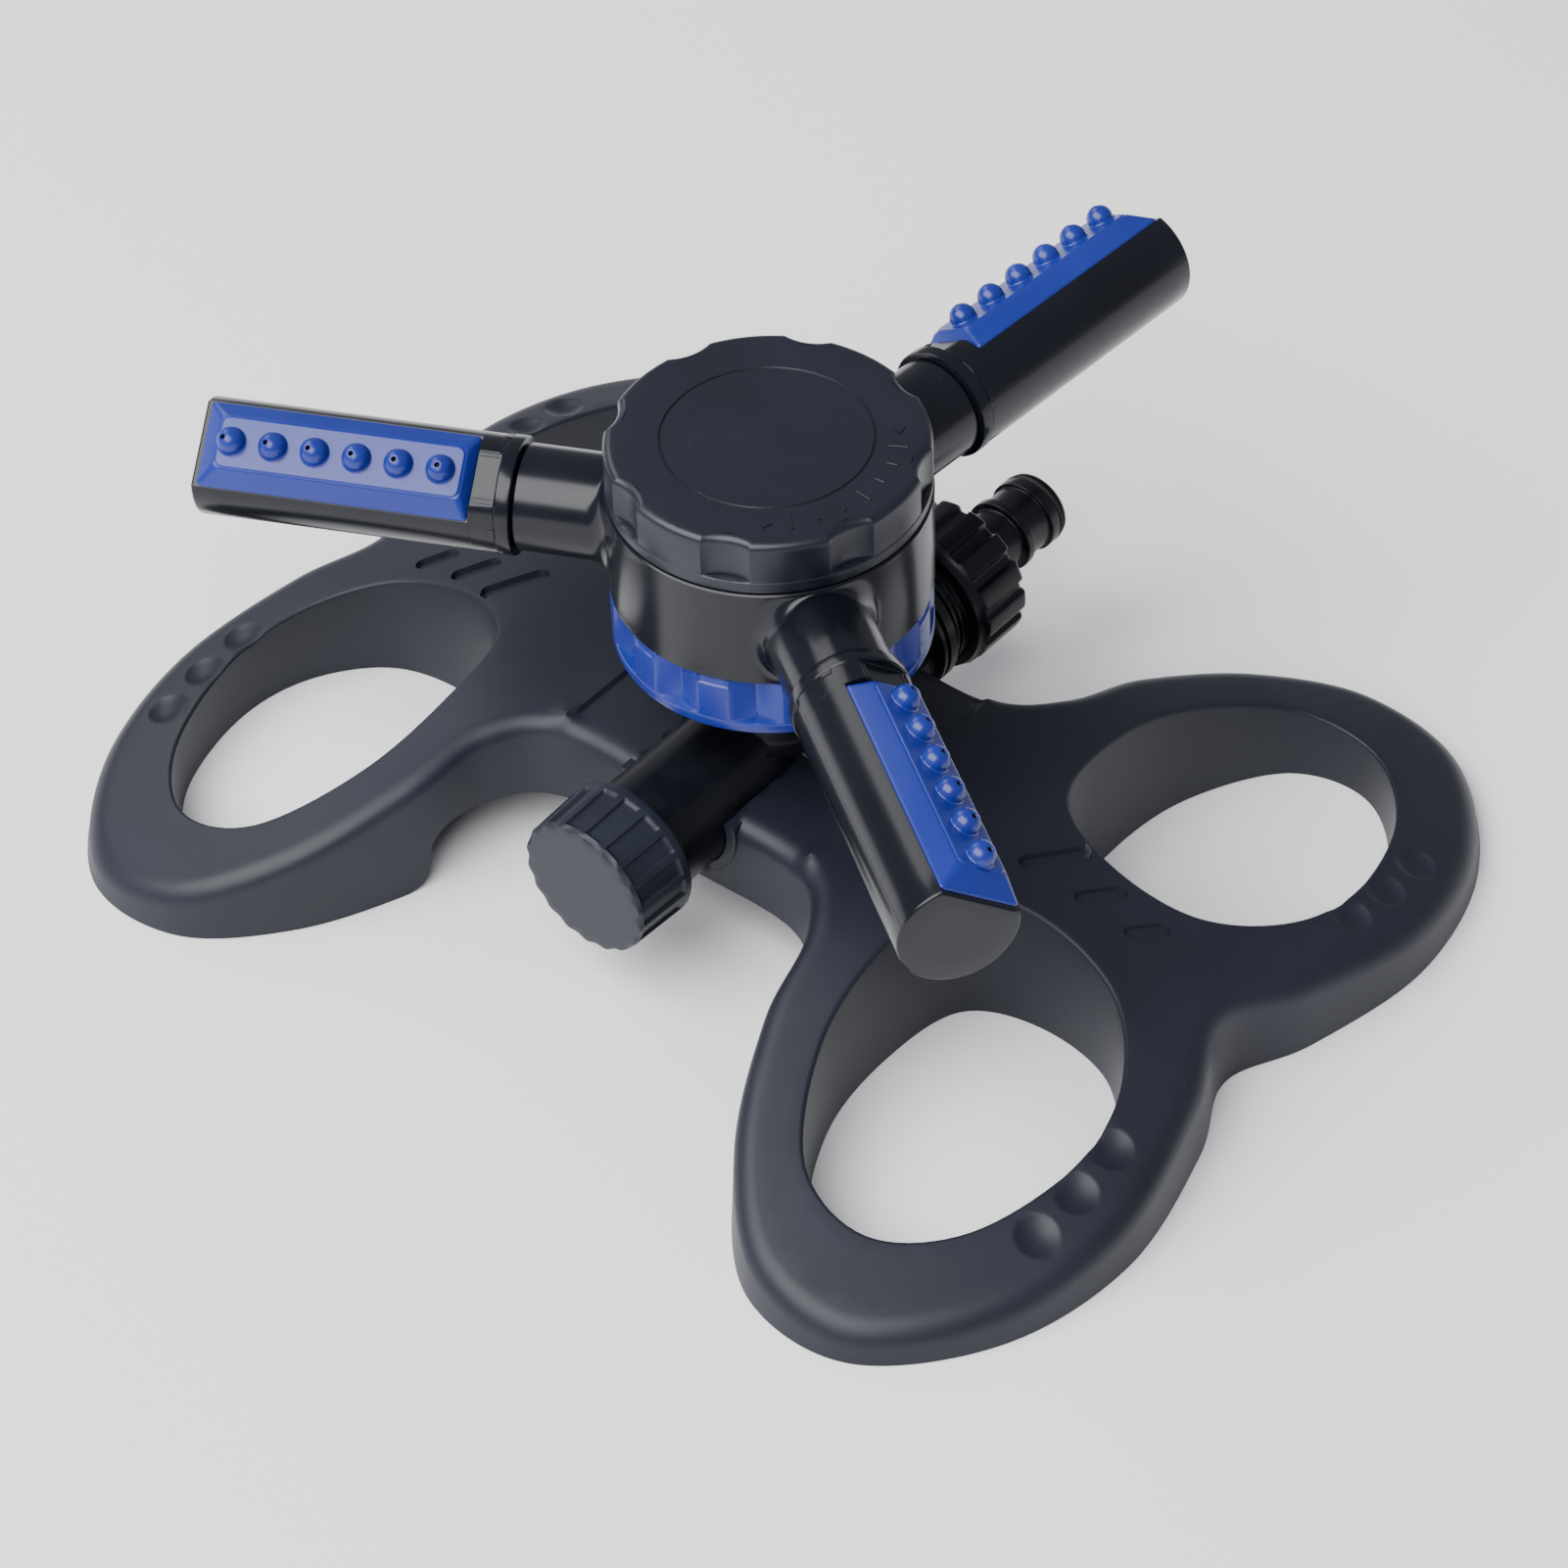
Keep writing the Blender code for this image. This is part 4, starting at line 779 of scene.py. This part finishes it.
def makeNut():
    low, high, near, bore, hole, floor, wide = (nut[key] for key in ("start", "end", "near", "bore",
            "neckHole", "floor", "radius"))
    ribs = nut["ribs"]

    def shape(radius, angle, along):
        if radius < near - 0.9:
            return radius
        part = ribPart(angle, ribs)
        groove = smoothStep((part - 0.52) / 0.2)
        band = smoothStep((along - low - 2.6) / 0.7) * smoothStep((high + 0.4 - along) / 0.6)
        return radius - nut["ribDepth"] * groove * band

    profile = [(bore, low), (near - 0.6, low), (near - 0.15, low + 0.2), (near, low + 0.7),
            (near, low + 1.7), (wide - 0.3, low + 2.6)]
    for step in range(26):
        profile.append((wide, low + 3.0 + step * (high - low - 4.2) / 25))
    profile += [(wide - 0.3, high - 0.7), (wide - 0.9, high - 0.2), (wide - 1.7, high), (hole + 3.2, high),
            (hole + 2.6, high - 0.5), (hole + 0.3, high - 0.5), (hole, high - 0.8), (hole, high - floor),
            (bore, high - floor)]
    shell = placeShell(lathe(profile, ribs * 18, turnY, True, shape), pipeUp)
    makePiece("inletNut", shell, [glassFilledNylon], "inlet_nut_body", ["inlet_nut"], 40)


nipple = {"flange": (65.8, 67.2, 14.9), "neck": 7.6, "stop": (82.1, 84.5, 9.2), "body": 8.3,
        "ring": (91.1, 94.1), "groove": 1.8, "tip": 97.1, "bore": 5.2, "seal": 1.2}


def makeNipple():
    low, high, wide = nipple["flange"]
    neck = nipple["neck"]
    stopLow, stopHigh, stop = nipple["stop"]
    ringLow, ringHigh = nipple["ring"]
    tip = nipple["tip"]
    bore = nipple["bore"]
    corners = [(bore, low, 0.3), (wide, low, 0.3), (wide, high, 0.3), (neck, high, 0.6),
            (neck, stopLow, 0.6), (stop, stopLow, 0.35), (stop, stopHigh, 0.35), (nipple["body"], stopHigh,
            0.5), (nipple["body"], ringLow, 0.5), (stop, ringLow, 0.5), (stop, ringHigh, 0.3),
            (neck, ringHigh, 0.1), (neck, ringHigh + nipple["groove"], 0.1),
            (stop - 0.2, ringHigh + nipple["groove"], 0.25), (stop - 0.5, tip, 0.7), (bore + 0.9, tip, 0.3),
            (bore, tip - 1.2, 0.4)]
    profile = [tuple(spot) for spot in softCorners(corners, 4)]
    makePiece("hoseNipple", placeShell(lathe(profile, 80, turnY), pipeUp), [glassFilledNylon],
            "inlet_carrier", ["hose_nipple"])
    seal = nipple["seal"] / 2 + 0.05
    middle = neck + 0.3 + seal
    centre = ringHigh + nipple["groove"] / 2
    section = [(middle + seal * cos(a), centre + seal * sin(a)) for a in (2 * pi * step / 16
            for step in range(16))]
    makePiece("nippleSeal", placeShell(lathe(section, 80, turnY), pipeUp), [nitrileRubber], "inlet_carrier",
            ["nipple_o_ring"])


makePipe()
makeScrews()
makeEndCap()
makeNut()
makeNipple()
print("pipe and fittings made")

# Rotor

rotor = {
    "radius": 36.0,
    "wall": 2.6,
    "bottom": 79.3,
    "top": 105.0,
    "rim": 0.35,
    "armHeight": 92.3,
    "stub": 12.0,
    "stubEnd": 55.5,
    "journal": 9.6,
    "journalEnd": 63.4,
    "journalBore": 6.6,
    "fillet": 5.5,
    "skirt": (31.0, 67.0),
    "hub": (8.8, 11.2, 66.0),
    "angles": [87.0, 207.0, 327.0],
    "around": 100,
}


def makeRotorSkin():
    # the outside wall with its three stubs, each blended in by a fillet that narrows at top and bottom
    points = []
    normals = []
    faces = []
    count = rotor["around"]
    wide = rotor["radius"]
    stub = rotor["stub"]
    up = rotor["top"] - rotor["rim"] - rotor["armHeight"]
    down = rotor["armHeight"] - rotor["bottom"] - rotor["rim"]
    halfTurn = pi / 3
    cornerAngles = [atan2(up, wide * halfTurn), pi - atan2(up, wide * halfTurn),
            pi + atan2(down, wide * halfTurn), 2 * pi - atan2(down, wide * halfTurn)]
    for armAngle in rotor["angles"]:
        turn = Matrix.Rotation(radians(armAngle), 3, "Z")
        rows = [[] for _ in range(22)]
        for step in range(count):
            phi = 2 * pi * step / count
            side, rise = cos(phi), sin(phi)
            room = (up if rise > 0 else down) * 0.998 / max(abs(rise), 1e-6) - stub
            blend = (rotor["fillet"] ** -4 + max(room, 0.05) ** -4) ** -0.25
            t = (stub + blend) * side
            centre = Vector((sqrt((wide + blend) ** 2 - t * t), t, (stub + blend) * rise))
            toStub = Vector((0, -side, -rise))
            toWall = Vector((-centre.x, -t, 0)) / (wide + blend)
            spread = toStub.angle(toWall)
            outer = centre.x
            for place, along in enumerate((rotor["stubEnd"] - 0.4, (rotor["stubEnd"] + outer) / 2)):
                rows[place + 1].append((Vector((along, stub * side, stub * rise)), -toStub))
            rows[0].append((Vector((rotor["stubEnd"], (stub - 0.4) * side, (stub - 0.4) * rise)),
                    Vector((0.7, side * 0.7, rise * 0.7))))
            for arc in range(11):
                part = arc / 10
                if spread < 1e-4:
                    direction = toStub
                else:
                    direction = (toStub * sin((1 - part) * spread)
                            + toWall * sin(part * spread)) / sin(spread)
                rows[3 + arc].append((centre + direction * blend, -direction))
            contact = centre + toWall * blend
            theta = atan2(contact.y, contact.x)
            nearest = [c for c in cornerAngles if abs(c - phi) <= pi / count + 1e-9]
            if nearest:
                edgeTheta = halfTurn if side > 0 else -halfTurn
                edgeRise = up if rise > 0 else -down
            else:
                scale = min(wide * halfTurn / max(abs(side), 1e-9),
                        (up if rise > 0 else down) / max(abs(rise), 1e-9))
                edgeTheta = side * scale / wide
                edgeRise = rise * scale
            for ring in range(8):
                part = (ring + 1) / 8
                angle = theta + (edgeTheta - theta) * part
                height = contact.z + (edgeRise - contact.z) * part
                out = Vector((cos(angle), sin(angle), 0))
                rows[14 + ring].append((out * wide + Vector((0, 0, height)), out))
        start = len(points)
        for row in rows:
            for spot, normal in row:
                points.append(tuple(turn @ spot + Vector((0, 0, rotor["armHeight"]))))
                normals.append(tuple((turn @ normal).normalized()))
        for row in range(len(rows) - 1):
            faces += [face[::-1] for face in bridge(start + row * count, start + (row + 1) * count, count)]
    makePiece("rotorSkin", (points, faces), [polishedAbs], "rotor", ["rotor_housing"], 32,
            normals)


def armMatrix(angle, tilt=0.0):
    return Matrix.Translation((0, 0, rotor["armHeight"])) @ spin(angle, "Z") @ spin(-tilt, "X")


def makeRotorCore():
    wide = rotor["radius"]
    rim = rotor["rim"]
    inner = wide - rotor["wall"]
    skirt, skirtLow = rotor["skirt"]
    bore, hub, hubLow = rotor["hub"]
    low = rotor["bottom"]
    top = rotor["top"]
    corners = [(bore, hubLow, 0.3), (hub, hubLow, 0.4), (hub, low, 0.8), (skirt - 2.6, low, 0.8),
            (skirt - 2.6, skirtLow, 0.3), (skirt, skirtLow, 0.4), (skirt, low, 0), (wide - rim, low, 0),
            (wide, low + rim, 0), (wide - 0.05, low + 2, 0), (wide - 0.05, top - 2, 0),
            (wide, top - rim, 0), (wide - rim, top, 0), (inner, top, 0.2), (inner, low + 2.6, 0.8),
            (bore, low + 2.6, 0.3)]
    body = lathe([tuple(spot) for spot in softCorners(corners, 4)], 180)
    shells = [body]
    stub = rotor["stub"] - 0.4
    journal = rotor["journal"]
    hole = rotor["journalBore"]
    end = rotor["journalEnd"]
    stubEnd = rotor["stubEnd"]
    profile = [(hole, inner - 3), (hole + 1, inner - 3), (hole + 1, stubEnd - 2), (stub, stubEnd - 1),
            (stub, stubEnd), (journal, stubEnd), (journal, 57.5), (journal - 1.35, 57.5),
            (journal - 1.35, 59.3), (journal, 59.3), (journal, 60.7), (journal - 0.9, 60.7),
            (journal - 0.9, 62.5), (journal, 62.5), (journal, end - 0.4), (journal - 0.4, end), (hole, end)]
    for angle in rotor["angles"]:
        shells.append(placeShell(lathe(profile, 48, turnX), armMatrix(angle)))
    makePiece("rotorCore", joinShells(*shells), [polishedAbs], "rotor", ["rotor_housing"])


collar = {"bottom": 64.5, "top": 79.0, "inner": 31.3, "radius": 36.0, "pockets": 12, "first": 4.0,
        "half": 9.5, "depth": 2.2, "floor": 2.9}


def makeCollar():
    offsets = [-15.0, -13.5, -12.0, -10.6, -9.7, -9.3, -7.5, -5.0, -2.5, -0.5, 0.0, 0.5, 2.5, 5.0, 7.5, 9.3,
            9.7, 10.6, 12.0, 13.5]
    low = collar["bottom"]
    top = collar["top"]
    floor = low + collar["floor"]
    rows = [(low, 0.7, 0), (low + 0.2, 0.2, 0), (low + 0.7, 0.0, 0), (floor - 0.5, 0.0, 0),
            (floor - 0.2, 0.04, 0.02), (floor, 0.12, 0.06), (floor + 0.25, 0.0, 0.92),
            (floor + 0.6, 0.0, 1.0), (top - 4.5, 0.0, 1.0), (top - 2.0, 0.0, 1.0), (top - 1.7, 0.0, 1.0),
            (top - 0.3, 0.0, 1.0), (top, 0.2, 1.0)]
    loops = []
    for height, inward, share in rows:
        ring = []
        for pocket in range(collar["pockets"]):
            for offset in offsets:
                angle = radians(collar["first"] + 360 / collar["pockets"] * pocket + offset)
                away = abs(offset)
                deep = collar["depth"] * max(0.0, 1 - max(away - 0.3, 0.0) / (collar["half"] - 0.3)) * share
                landPart = smoothStep((away - collar["half"]) / 0.4)
                chamfer = 0.85 * smoothStep((height - top + 2.1) / 0.5) * landPart * smoothStep((16.2
                        - away) / 2.0 * 0.6 + 0.35)
                radius = collar["radius"] - inward - deep - (chamfer if share else 0.0) * 0.6
                ring.append(turnZ(radius, angle, height))
        loops.append(ring)
    count = len(loops[0])
    for radius, height in ((collar["inner"], top), (collar["inner"], low)):
        loops.append([turnZ(radius, atan2(y, x), height) for x, y, z in loops[0]])
    loops.append(loops[0])
    makePiece("gripRing", loft(loops), [blueAbs], "rotor", ["blue_collar"], 24)


cap = {"bottom": 105.3, "top": 119.0, "radius": 35.7, "scallops": 8, "first": 25.0, "depth": 1.7,
        "arc": 12.0, "floor": 3.0, "edge": 2.0, "spigot": 33.1, "ringGroove": 23.3, "inner": 28.5,
        "markRadius": 28.4, "markRise": 0.25}


def capOutline(inset, scallop):
    # one loop of the cap's outline at an inset, with share scallop of its hollows
    ring = []
    centre = cap["radius"] - cap["depth"] + cap["arc"]
    cut = acos((cap["radius"] ** 2 + centre ** 2 - cap["arc"] ** 2) / (2 * cap["radius"] * centre))
    hollow = [cut * part for part in (-1, -0.97, -0.9, -0.75, -0.5, -0.25, 0, 0.25, 0.5, 0.75, 0.9, 0.97, 1)]
    step = 2 * pi / cap["scallops"]
    land = [cut + (step - 2 * cut) * part for part in (0.015, 0.04, 0.1, 0.2, 0.35, 0.5, 0.65, 0.8, 0.9,
            0.96, 0.985)]
    for index in range(cap["scallops"]):
        for offset in hollow + land:
            angle = radians(cap["first"]) + step * index + offset
            radius = cap["radius"]
            if abs(offset) < cut:
                dip = centre * cos(offset) - sqrt(cap["arc"] ** 2 - (centre * sin(offset)) ** 2)
                radius += (dip - radius) * scallop
            ring.append((radius - inset, angle))
    return ring


def makeCap():
    wide, rise, spigot, floor, inner = (cap[key] for key in ("radius", "markRise", "spigot", "floor",
            "inner"))
    low = cap["bottom"]
    top = cap["top"]
    edge = cap["edge"]
    rows = [(0.6, 0, low), (0.15, 0, low + 0.15), (0.0, 0, low + 0.5), (0.0, 0, low + floor - 0.15),
            (0.12, 0.06, low + floor), (0.1, 0.9, low + floor + 0.12), (0.0, 1, low + floor + 0.5),
            (0.0, 1, low + 7.5), (0.0, 1, top - rise - edge)]
    rows += [(edge * (1 - cos(bend)), 1, top - rise - edge * (1 - sin(bend)))
            for bend in (pi / 2 * step / 7 for step in range(1, 8))]
    loops = [[turnZ(radius, angle, height) for radius, angle in capOutline(inset, share)] for inset, share,
            height in rows]
    angles = [angle for radius, angle in capOutline(0, 1)]
    groove = cap["ringGroove"]
    flat = top - rise
    for radius, height in ((32.2, flat), (31.0, flat), (27.0, flat), (groove + 0.35, flat),
            (groove + 0.12, flat - 0.35), (groove - 0.12, flat - 0.35), (groove - 0.35, flat), (18.0, flat),
            (12.0, flat), (6.0, flat), (0.01, flat)):
        loops.append([turnZ(radius, angle, height) for angle in angles])
    skin = loft(loops)
    under = softCorners([(wide - 0.6, low, 0), (spigot, low, 0.2), (spigot, 103.4, 0),
            (spigot - 1.35, 103.4, 0), (spigot - 1.35, 101.6, 0), (spigot, 101.6, 0), (spigot, 100.0, 0.4),
            (inner, 100.0, 0.4), (inner, 116.2, 1.5), (0.01, 116.2, 0)], 4)
    core = lathe([tuple(spot) for spot in under], 120, turnZ, False)
    shells = [skin, core]
    # plain raised ticks round the rim and two small arrows stand for the adjusting marks
    markPlace = Matrix.Translation((cap["markRadius"], 0, 0))
    for index, degrees in enumerate((-40, -28, -16, -4, 8, 20, 32)):
        reach = 2.1 if index in (0, 3, 6) else 1.2
        tick = bar(-reach, reach, 0.35, flat - 0.2, top, 0.08)
        shells.append(placeShell(tick, spin(degrees, "Z") @ markPlace))
    arrow = prism([(-1.1, 0.0), (1.1, -1.4), (1.1, 1.4)], flat - 0.2, top, 0.1)
    for degrees in (-50, 42):
        turn = spin(degrees, "Z") @ markPlace @ spin(copysign(90, degrees), "Z")
        shells.append(placeShell(arrow, turn))
    makePiece("scallopedCap", joinShells(*shells), [blastedAbs], "cap", ["top_cap"], 30)


makeRotorSkin()
makeRotorCore()
makeCollar()
makeCap()
print("rotor made")

# Arms

arm = {
    "tilt": 33.0,
    "radius": 13.2,
    "start": 56.0,
    "lipEnd": 59.4,
    "end": 129.0,
    "step": 11.4,
    "flat": 8.65,
    "bore": 9.9,
    "boreEnd": 63.7,
    "edge": 0.7,
}
plate = {
    "start": 65.5,
    "end": 127.6,
    "width": 19.6,
    "low": 7.1,
    "rim": 9.2,
    "middle": 13.05,          # height of the raised middle
    "bevel": (1.6, 4.0, 3.6),     # width of the slope at the hub's end, at the far end and along the sides
    "ledge": 0.4,
    "nozzles": 6,
    "first": 72.3,
    "pitch": 9.59,
    "dome": 3.1,
    "rise": 3.9,
    "bore": 0.55,
    "fan": (0.0, 24.0),       # degrees that the first and last jets lean outwards
}


def flattened(radius, flat, sides=56, across=10):
    # a round section with one flat at the given height, starting at the flat's -Y end
    flat = min(flat, radius * 0.9999)
    half = acos(flat / radius)
    width = radius * sin(half)
    top = [(-width + 2 * width * step / across, flat) for step in range(across)]
    arc = [half + (2 * pi - 2 * half) * step / sides for step in range(sides)]
    return top + [(radius * sin(a), radius * cos(a)) for a in arc]


def makeSleeve(index, angle):
    start, lipEnd, hole, holeEnd = (arm[key] for key in ("start", "lipEnd", "bore", "boreEnd"))
    radius = arm["radius"]
    lip = radius + 0.2
    step = arm["step"]
    flat = arm["flat"]
    end = arm["end"]
    edge = arm["edge"]
    seat = plate["start"] - 0.3           # where the deep flat begins, just before the plate
    whole = 2 * radius                    # a flat this high leaves the section round
    stations = [(hole, start, whole), (lip - 0.4, start, whole), (lip - 0.1, start + 0.12, whole),
            (lip, start + 0.4, whole), (lip, lipEnd - 0.35, whole), (lip - 0.3, lipEnd, whole),
            (radius, lipEnd + 0.02, step + 0.2), (radius, lipEnd + 0.3, step), (radius, seat - 0.35, step),
            (radius, seat - 0.1, step - 0.25), (radius, seat, flat + 0.3), (radius, seat + 0.1, flat)]
    stations += [(radius, seat + 0.1 + (end - edge - seat - 0.1) * part / 10, flat) for part in range(1, 11)]
    for bend in (22.5, 45, 67.5, 90):
        inset = edge * (1 - cos(radians(bend)))
        stations.append((radius - inset, end - edge + edge * sin(radians(bend)), flat - inset))
    loops = []
    for wide, along, height in stations:
        loops.append([(along, y, z) for y, z in flattened(wide, height)])
    for share in (0.6, 0.3, 0.001):
        loops.append([(end, y * share, z * share) for y, z in flattened(radius - edge, flat - edge)])
    shell = loft(loops)
    bore = lathe([(hole, start), (hole, holeEnd), (0.01, holeEnd)], 48, turnX, False)
    notches = []
    for turn in (60, 105, 255, 300):      # short raised teeth behind the lip
        tooth = prism([(lipEnd - 0.2, -1.4), (lipEnd + 1.3, -1.1), (lipEnd + 1.3, 1.1),
                (lipEnd - 0.2, 1.4)], radius - 0.6, lip, 0.12)
        notches.append(placeShell(tooth, spin(turn, "X")))
    line = []
    for place in (-5.9, -4.9, 4.9, 5.9):      # short ribs on the shallow flat
        rib = bar(60.2, seat - 0.6, 0.2, step - 0.3, step + 0.22, 0.08)
        line.append(placeShell(rib, Matrix.Translation((0, place, 0))))
    for side in (1, -1):                  # the fine parting line along each side
        ridge = bar(60.0, end - 0.6, 0.12, radius - 0.3, radius + 0.07, 0.05)
        line.append(placeShell(ridge, spin(side * 100, "X")))
    sleeve = placeShell(joinShells(shell, bore, *notches, *line), armMatrix(angle, arm["tilt"]))
    makePiece(f"armSleeve{index}", sleeve, [polishedAbs], f"arm_{index}",
            [f"arm_sleeve_{index}"], 34)


def plateLoop(share, extra, radius, height, steps=6):
    # a rounded rectangle that has moved in by this share of the bevel, and by a little more
    near, far, side = (width * share + extra for width in plate["bevel"])
    half = plate["width"] / 2 - side
    low = plate["start"] + near
    high = plate["end"] - far
    corners = [(low, -half), (high, -half), (high, half), (low, half)]
    outline = []
    for index, (x, y) in enumerate(corners):
        cx = x + (radius if x == low else -radius)
        cy = y + (radius if y < 0 else -radius)
        for step in range(steps + 1):
            bend = pi + pi / 2 * (index + step / steps)
            outline.append((cx + radius * cos(bend), cy + radius * sin(bend), height))
    return outline


def jetLean(place):
    first, last = plate["fan"]
    return radians(first + (last - first) * place / (plate["nozzles"] - 1))


def domeCentre(place):
    return Vector((plate["first"] + place * plate["pitch"], 0, plate["middle"] + plate["rise"]
            - plate["dome"]))


def domeShell(place):
    # a round nozzle: a short upright foot, then a ball that leans with its jet and has a small flat lip
    # round its bore
    ball = plate["dome"]
    middle = plate["middle"]
    centre = domeCentre(place)
    foot = lathe([(ball + 0.45, middle - 0.05), (ball + 0.15, middle + 0.08), (ball, middle + 0.3),
            (ball, centre.z)], 40, turnZ, False)
    bore = plate["bore"]
    lip = 1.05
    rows = [(0.01, ball - 1.6), (bore, ball - 1.6), (bore, ball - 0.28), (bore + 0.12, ball - 0.14),
            (lip - 0.1, ball - 0.14), (lip, ball - 0.2)]
    rows += [(ball * sin(a), ball * cos(a)) for a in (radians(22 + 94 * step / 16) for step in range(17))]
    turn = Matrix.Translation(centre) @ Matrix.Rotation(jetLean(place), 4, "Y")
    return joinShells(placeShell(foot, Matrix.Translation((centre.x, 0, 0))),
            placeShell(lathe(rows, 40, turnZ, False), turn))


def makePlate(index, angle):
    rim = plate["rim"]
    middle = plate["middle"]
    ledge = plate["ledge"]
    rings = [(0, 0, 1.0, plate["low"]), (0, 0, 1.0, rim - 0.3), (0, 0.1, 1.0, rim - 0.08),
            (0, 0.3, 1.0, rim + 0.12), (1, -0.25, 1.6, middle - ledge - 0.2),
            (1, -0.1, 1.7, middle - ledge - 0.06), (1, 0.15, 1.8, middle - ledge),
            (1, 0.3, 1.8, middle - ledge + 0.08), (1, 0.4, 1.8, middle - 0.12),
            (1, 0.55, 1.8, middle - 0.02), (1, 0.8, 1.8, middle)]
    shell = loft([plateLoop(*ring) for ring in rings], True)
    domes = [domeShell(place) for place in range(plate["nozzles"])]
    matrix = armMatrix(angle, arm["tilt"])
    piece = makePiece(f"nozzlePlate{index}", placeShell(joinShells(shell, *domes), matrix),
            [blueAbs, paintedShadeBlueAbs], f"arm_{index}", [f"nozzle_plate_{index}"], 30)
    back = matrix.inverted()
    for face in piece.data.polygons:         # the faces inside each bore take the near-black material, painted shade for the hole
        spot = back @ (face.center / mm)
        for place in range(plate["nozzles"]):
            lean = jetLean(place)
            away = spot - domeCentre(place)
            jet = Vector((sin(lean), 0, cos(lean)))
            along = away.dot(jet)
            if (away - jet * along).length < plate["bore"] + 0.02 and 1.0 < along < plate["dome"] - 0.25:
                face.material_index = 1


for index, angle in enumerate(rotor["angles"], 1):
    makeSleeve(index, angle)
    makePlate(index, angle)
print("arms made")

# The hidden CAD pieces that stay
keptFinish = {
    "spindle": naturalAcetal, "rotor_bush": naturalAcetal, "lower_thrust_washer": naturalAcetal,
    "upper_thrust_washer": naturalAcetal, "spindle_clip": stainlessSteel, "filter_screen": stainlessSteel,
    "spindle_o_ring": nitrileRubber, "cap_seal": nitrileRubber, "inlet_washer": nitrileRubber,
    "end_cap_washer": nitrileRubber,
}
for index in (1, 2, 3):
    keptFinish[f"arm_o_ring_{index}"] = nitrileRubber
    keptFinish[f"arm_snap_ring_{index}"] = stainlessSteel
for name, material in keptFinish.items():
    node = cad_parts[name]
    if not node.data.materials:
        node.data.materials.append(material)
    for place in range(len(node.material_slots)):
        node.material_slots[place].material = material


# Studio

studio = {
    "azimuth": 41.19,        # degrees, the camera's way round from -Y towards +X
    "elevation": 42.34,
    "distance": 1.0509,
    "aim": 0.069,
    "yaw": -0.0015,          # radians off the line to the aim point
    "pitch": 0.0374,
    "roll": -0.032,
    "lens": 108.37,
    "floor": "#f9f9fa",
    "air": "#e3e6f0",
    "airStrength": 0.42,
    "aimOfLights": 0.05,     # metres above the ground
    "panels": {"overheadBox": ((-0.2, -1.35, 1.9), 3.0, 1.9, 135),      # place, width, height and watts
               "leftBox": ((-1.6, 0.3, 1.3), 0.9, 0.9, 8)},
    "floorSize": 6.0,
}


def makeCamera():
    azimuth = radians(studio["azimuth"])
    elevation = radians(studio["elevation"])
    distance = studio["distance"]
    spot = Vector((sin(azimuth) * cos(elevation) * distance, -cos(azimuth) * cos(elevation) * distance,
            sin(elevation) * distance + studio["aim"]))
    yaw = azimuth + studio["yaw"]
    pitch = elevation + studio["pitch"]
    forward = Vector((-sin(yaw) * cos(pitch), cos(yaw) * cos(pitch), -sin(pitch)))
    right = Vector((cos(yaw), sin(yaw), 0))
    up = right.cross(forward)
    c, s = cos(studio["roll"]), sin(studio["roll"])
    right, up = right * c + up * s, up * c - right * s
    camera = bpy.data.cameras.new("studioCamera")
    camera.lens = studio["lens"]
    camera.sensor_width = 36
    camera.clip_start = 0.05
    view = addObject("studioCamera", camera)
    matrix = Matrix((right, up, -forward)).transposed().to_4x4()
    view.matrix_world = Matrix.Translation(spot) @ matrix
    bpy.context.scene.camera = view


def addPanel(name, place, width, height, power):
    # a soft box that faces the object
    light = bpy.data.lights.new(name, "AREA")
    light.shape = "RECTANGLE"
    light.size = width
    light.size_y = height
    light.energy = power
    lamp = addObject(name, light)
    lamp.location = place
    aim = Vector((0, 0, studio["aimOfLights"])) - Vector(place)
    lamp.rotation_euler = aim.to_track_quat("-Z", "Y").to_euler()


def makeStudio():
    floorMesh = bpy.data.meshes.new("studioFloor")
    size = studio["floorSize"]
    floorMesh.from_pydata([(-size, -size, 0), (size, -size, 0), (size, size, 0), (-size, size, 0)], [],
            [(0, 1, 2, 3)])
    material, tree, shader, place = startMaterial("paintedFloor", {"Base Color": hexColour(studio["floor"])})
    soft = addNode(tree, "ShaderNodeTexNoise", {"Scale": perMetre(60)}, {"Vector": place})
    rough = addNode(tree, "ShaderNodeMapRange", {"To Min": 0.75, "To Max": 0.85},
            {"Value": soft.outputs["Fac"]})
    tree.links.new(rough.outputs["Result"], shader.inputs["Roughness"])
    floorMesh.materials.append(material)
    floor = addObject("studioFloor", floorMesh)
    floor.location.z = -0.0002
    world = bpy.data.worlds.new("studioAir")
    world.use_nodes = True
    bpy.context.scene.world = world
    background = world.node_tree.nodes["Background"]
    background.inputs["Color"].default_value = hexColour(studio["air"])
    background.inputs["Strength"].default_value = studio["airStrength"]
    for name, settings in studio["panels"].items():
        addPanel(name, *settings)


makeCamera()
makeStudio()
bpy.context.view_layer.update()
print("studio ready")
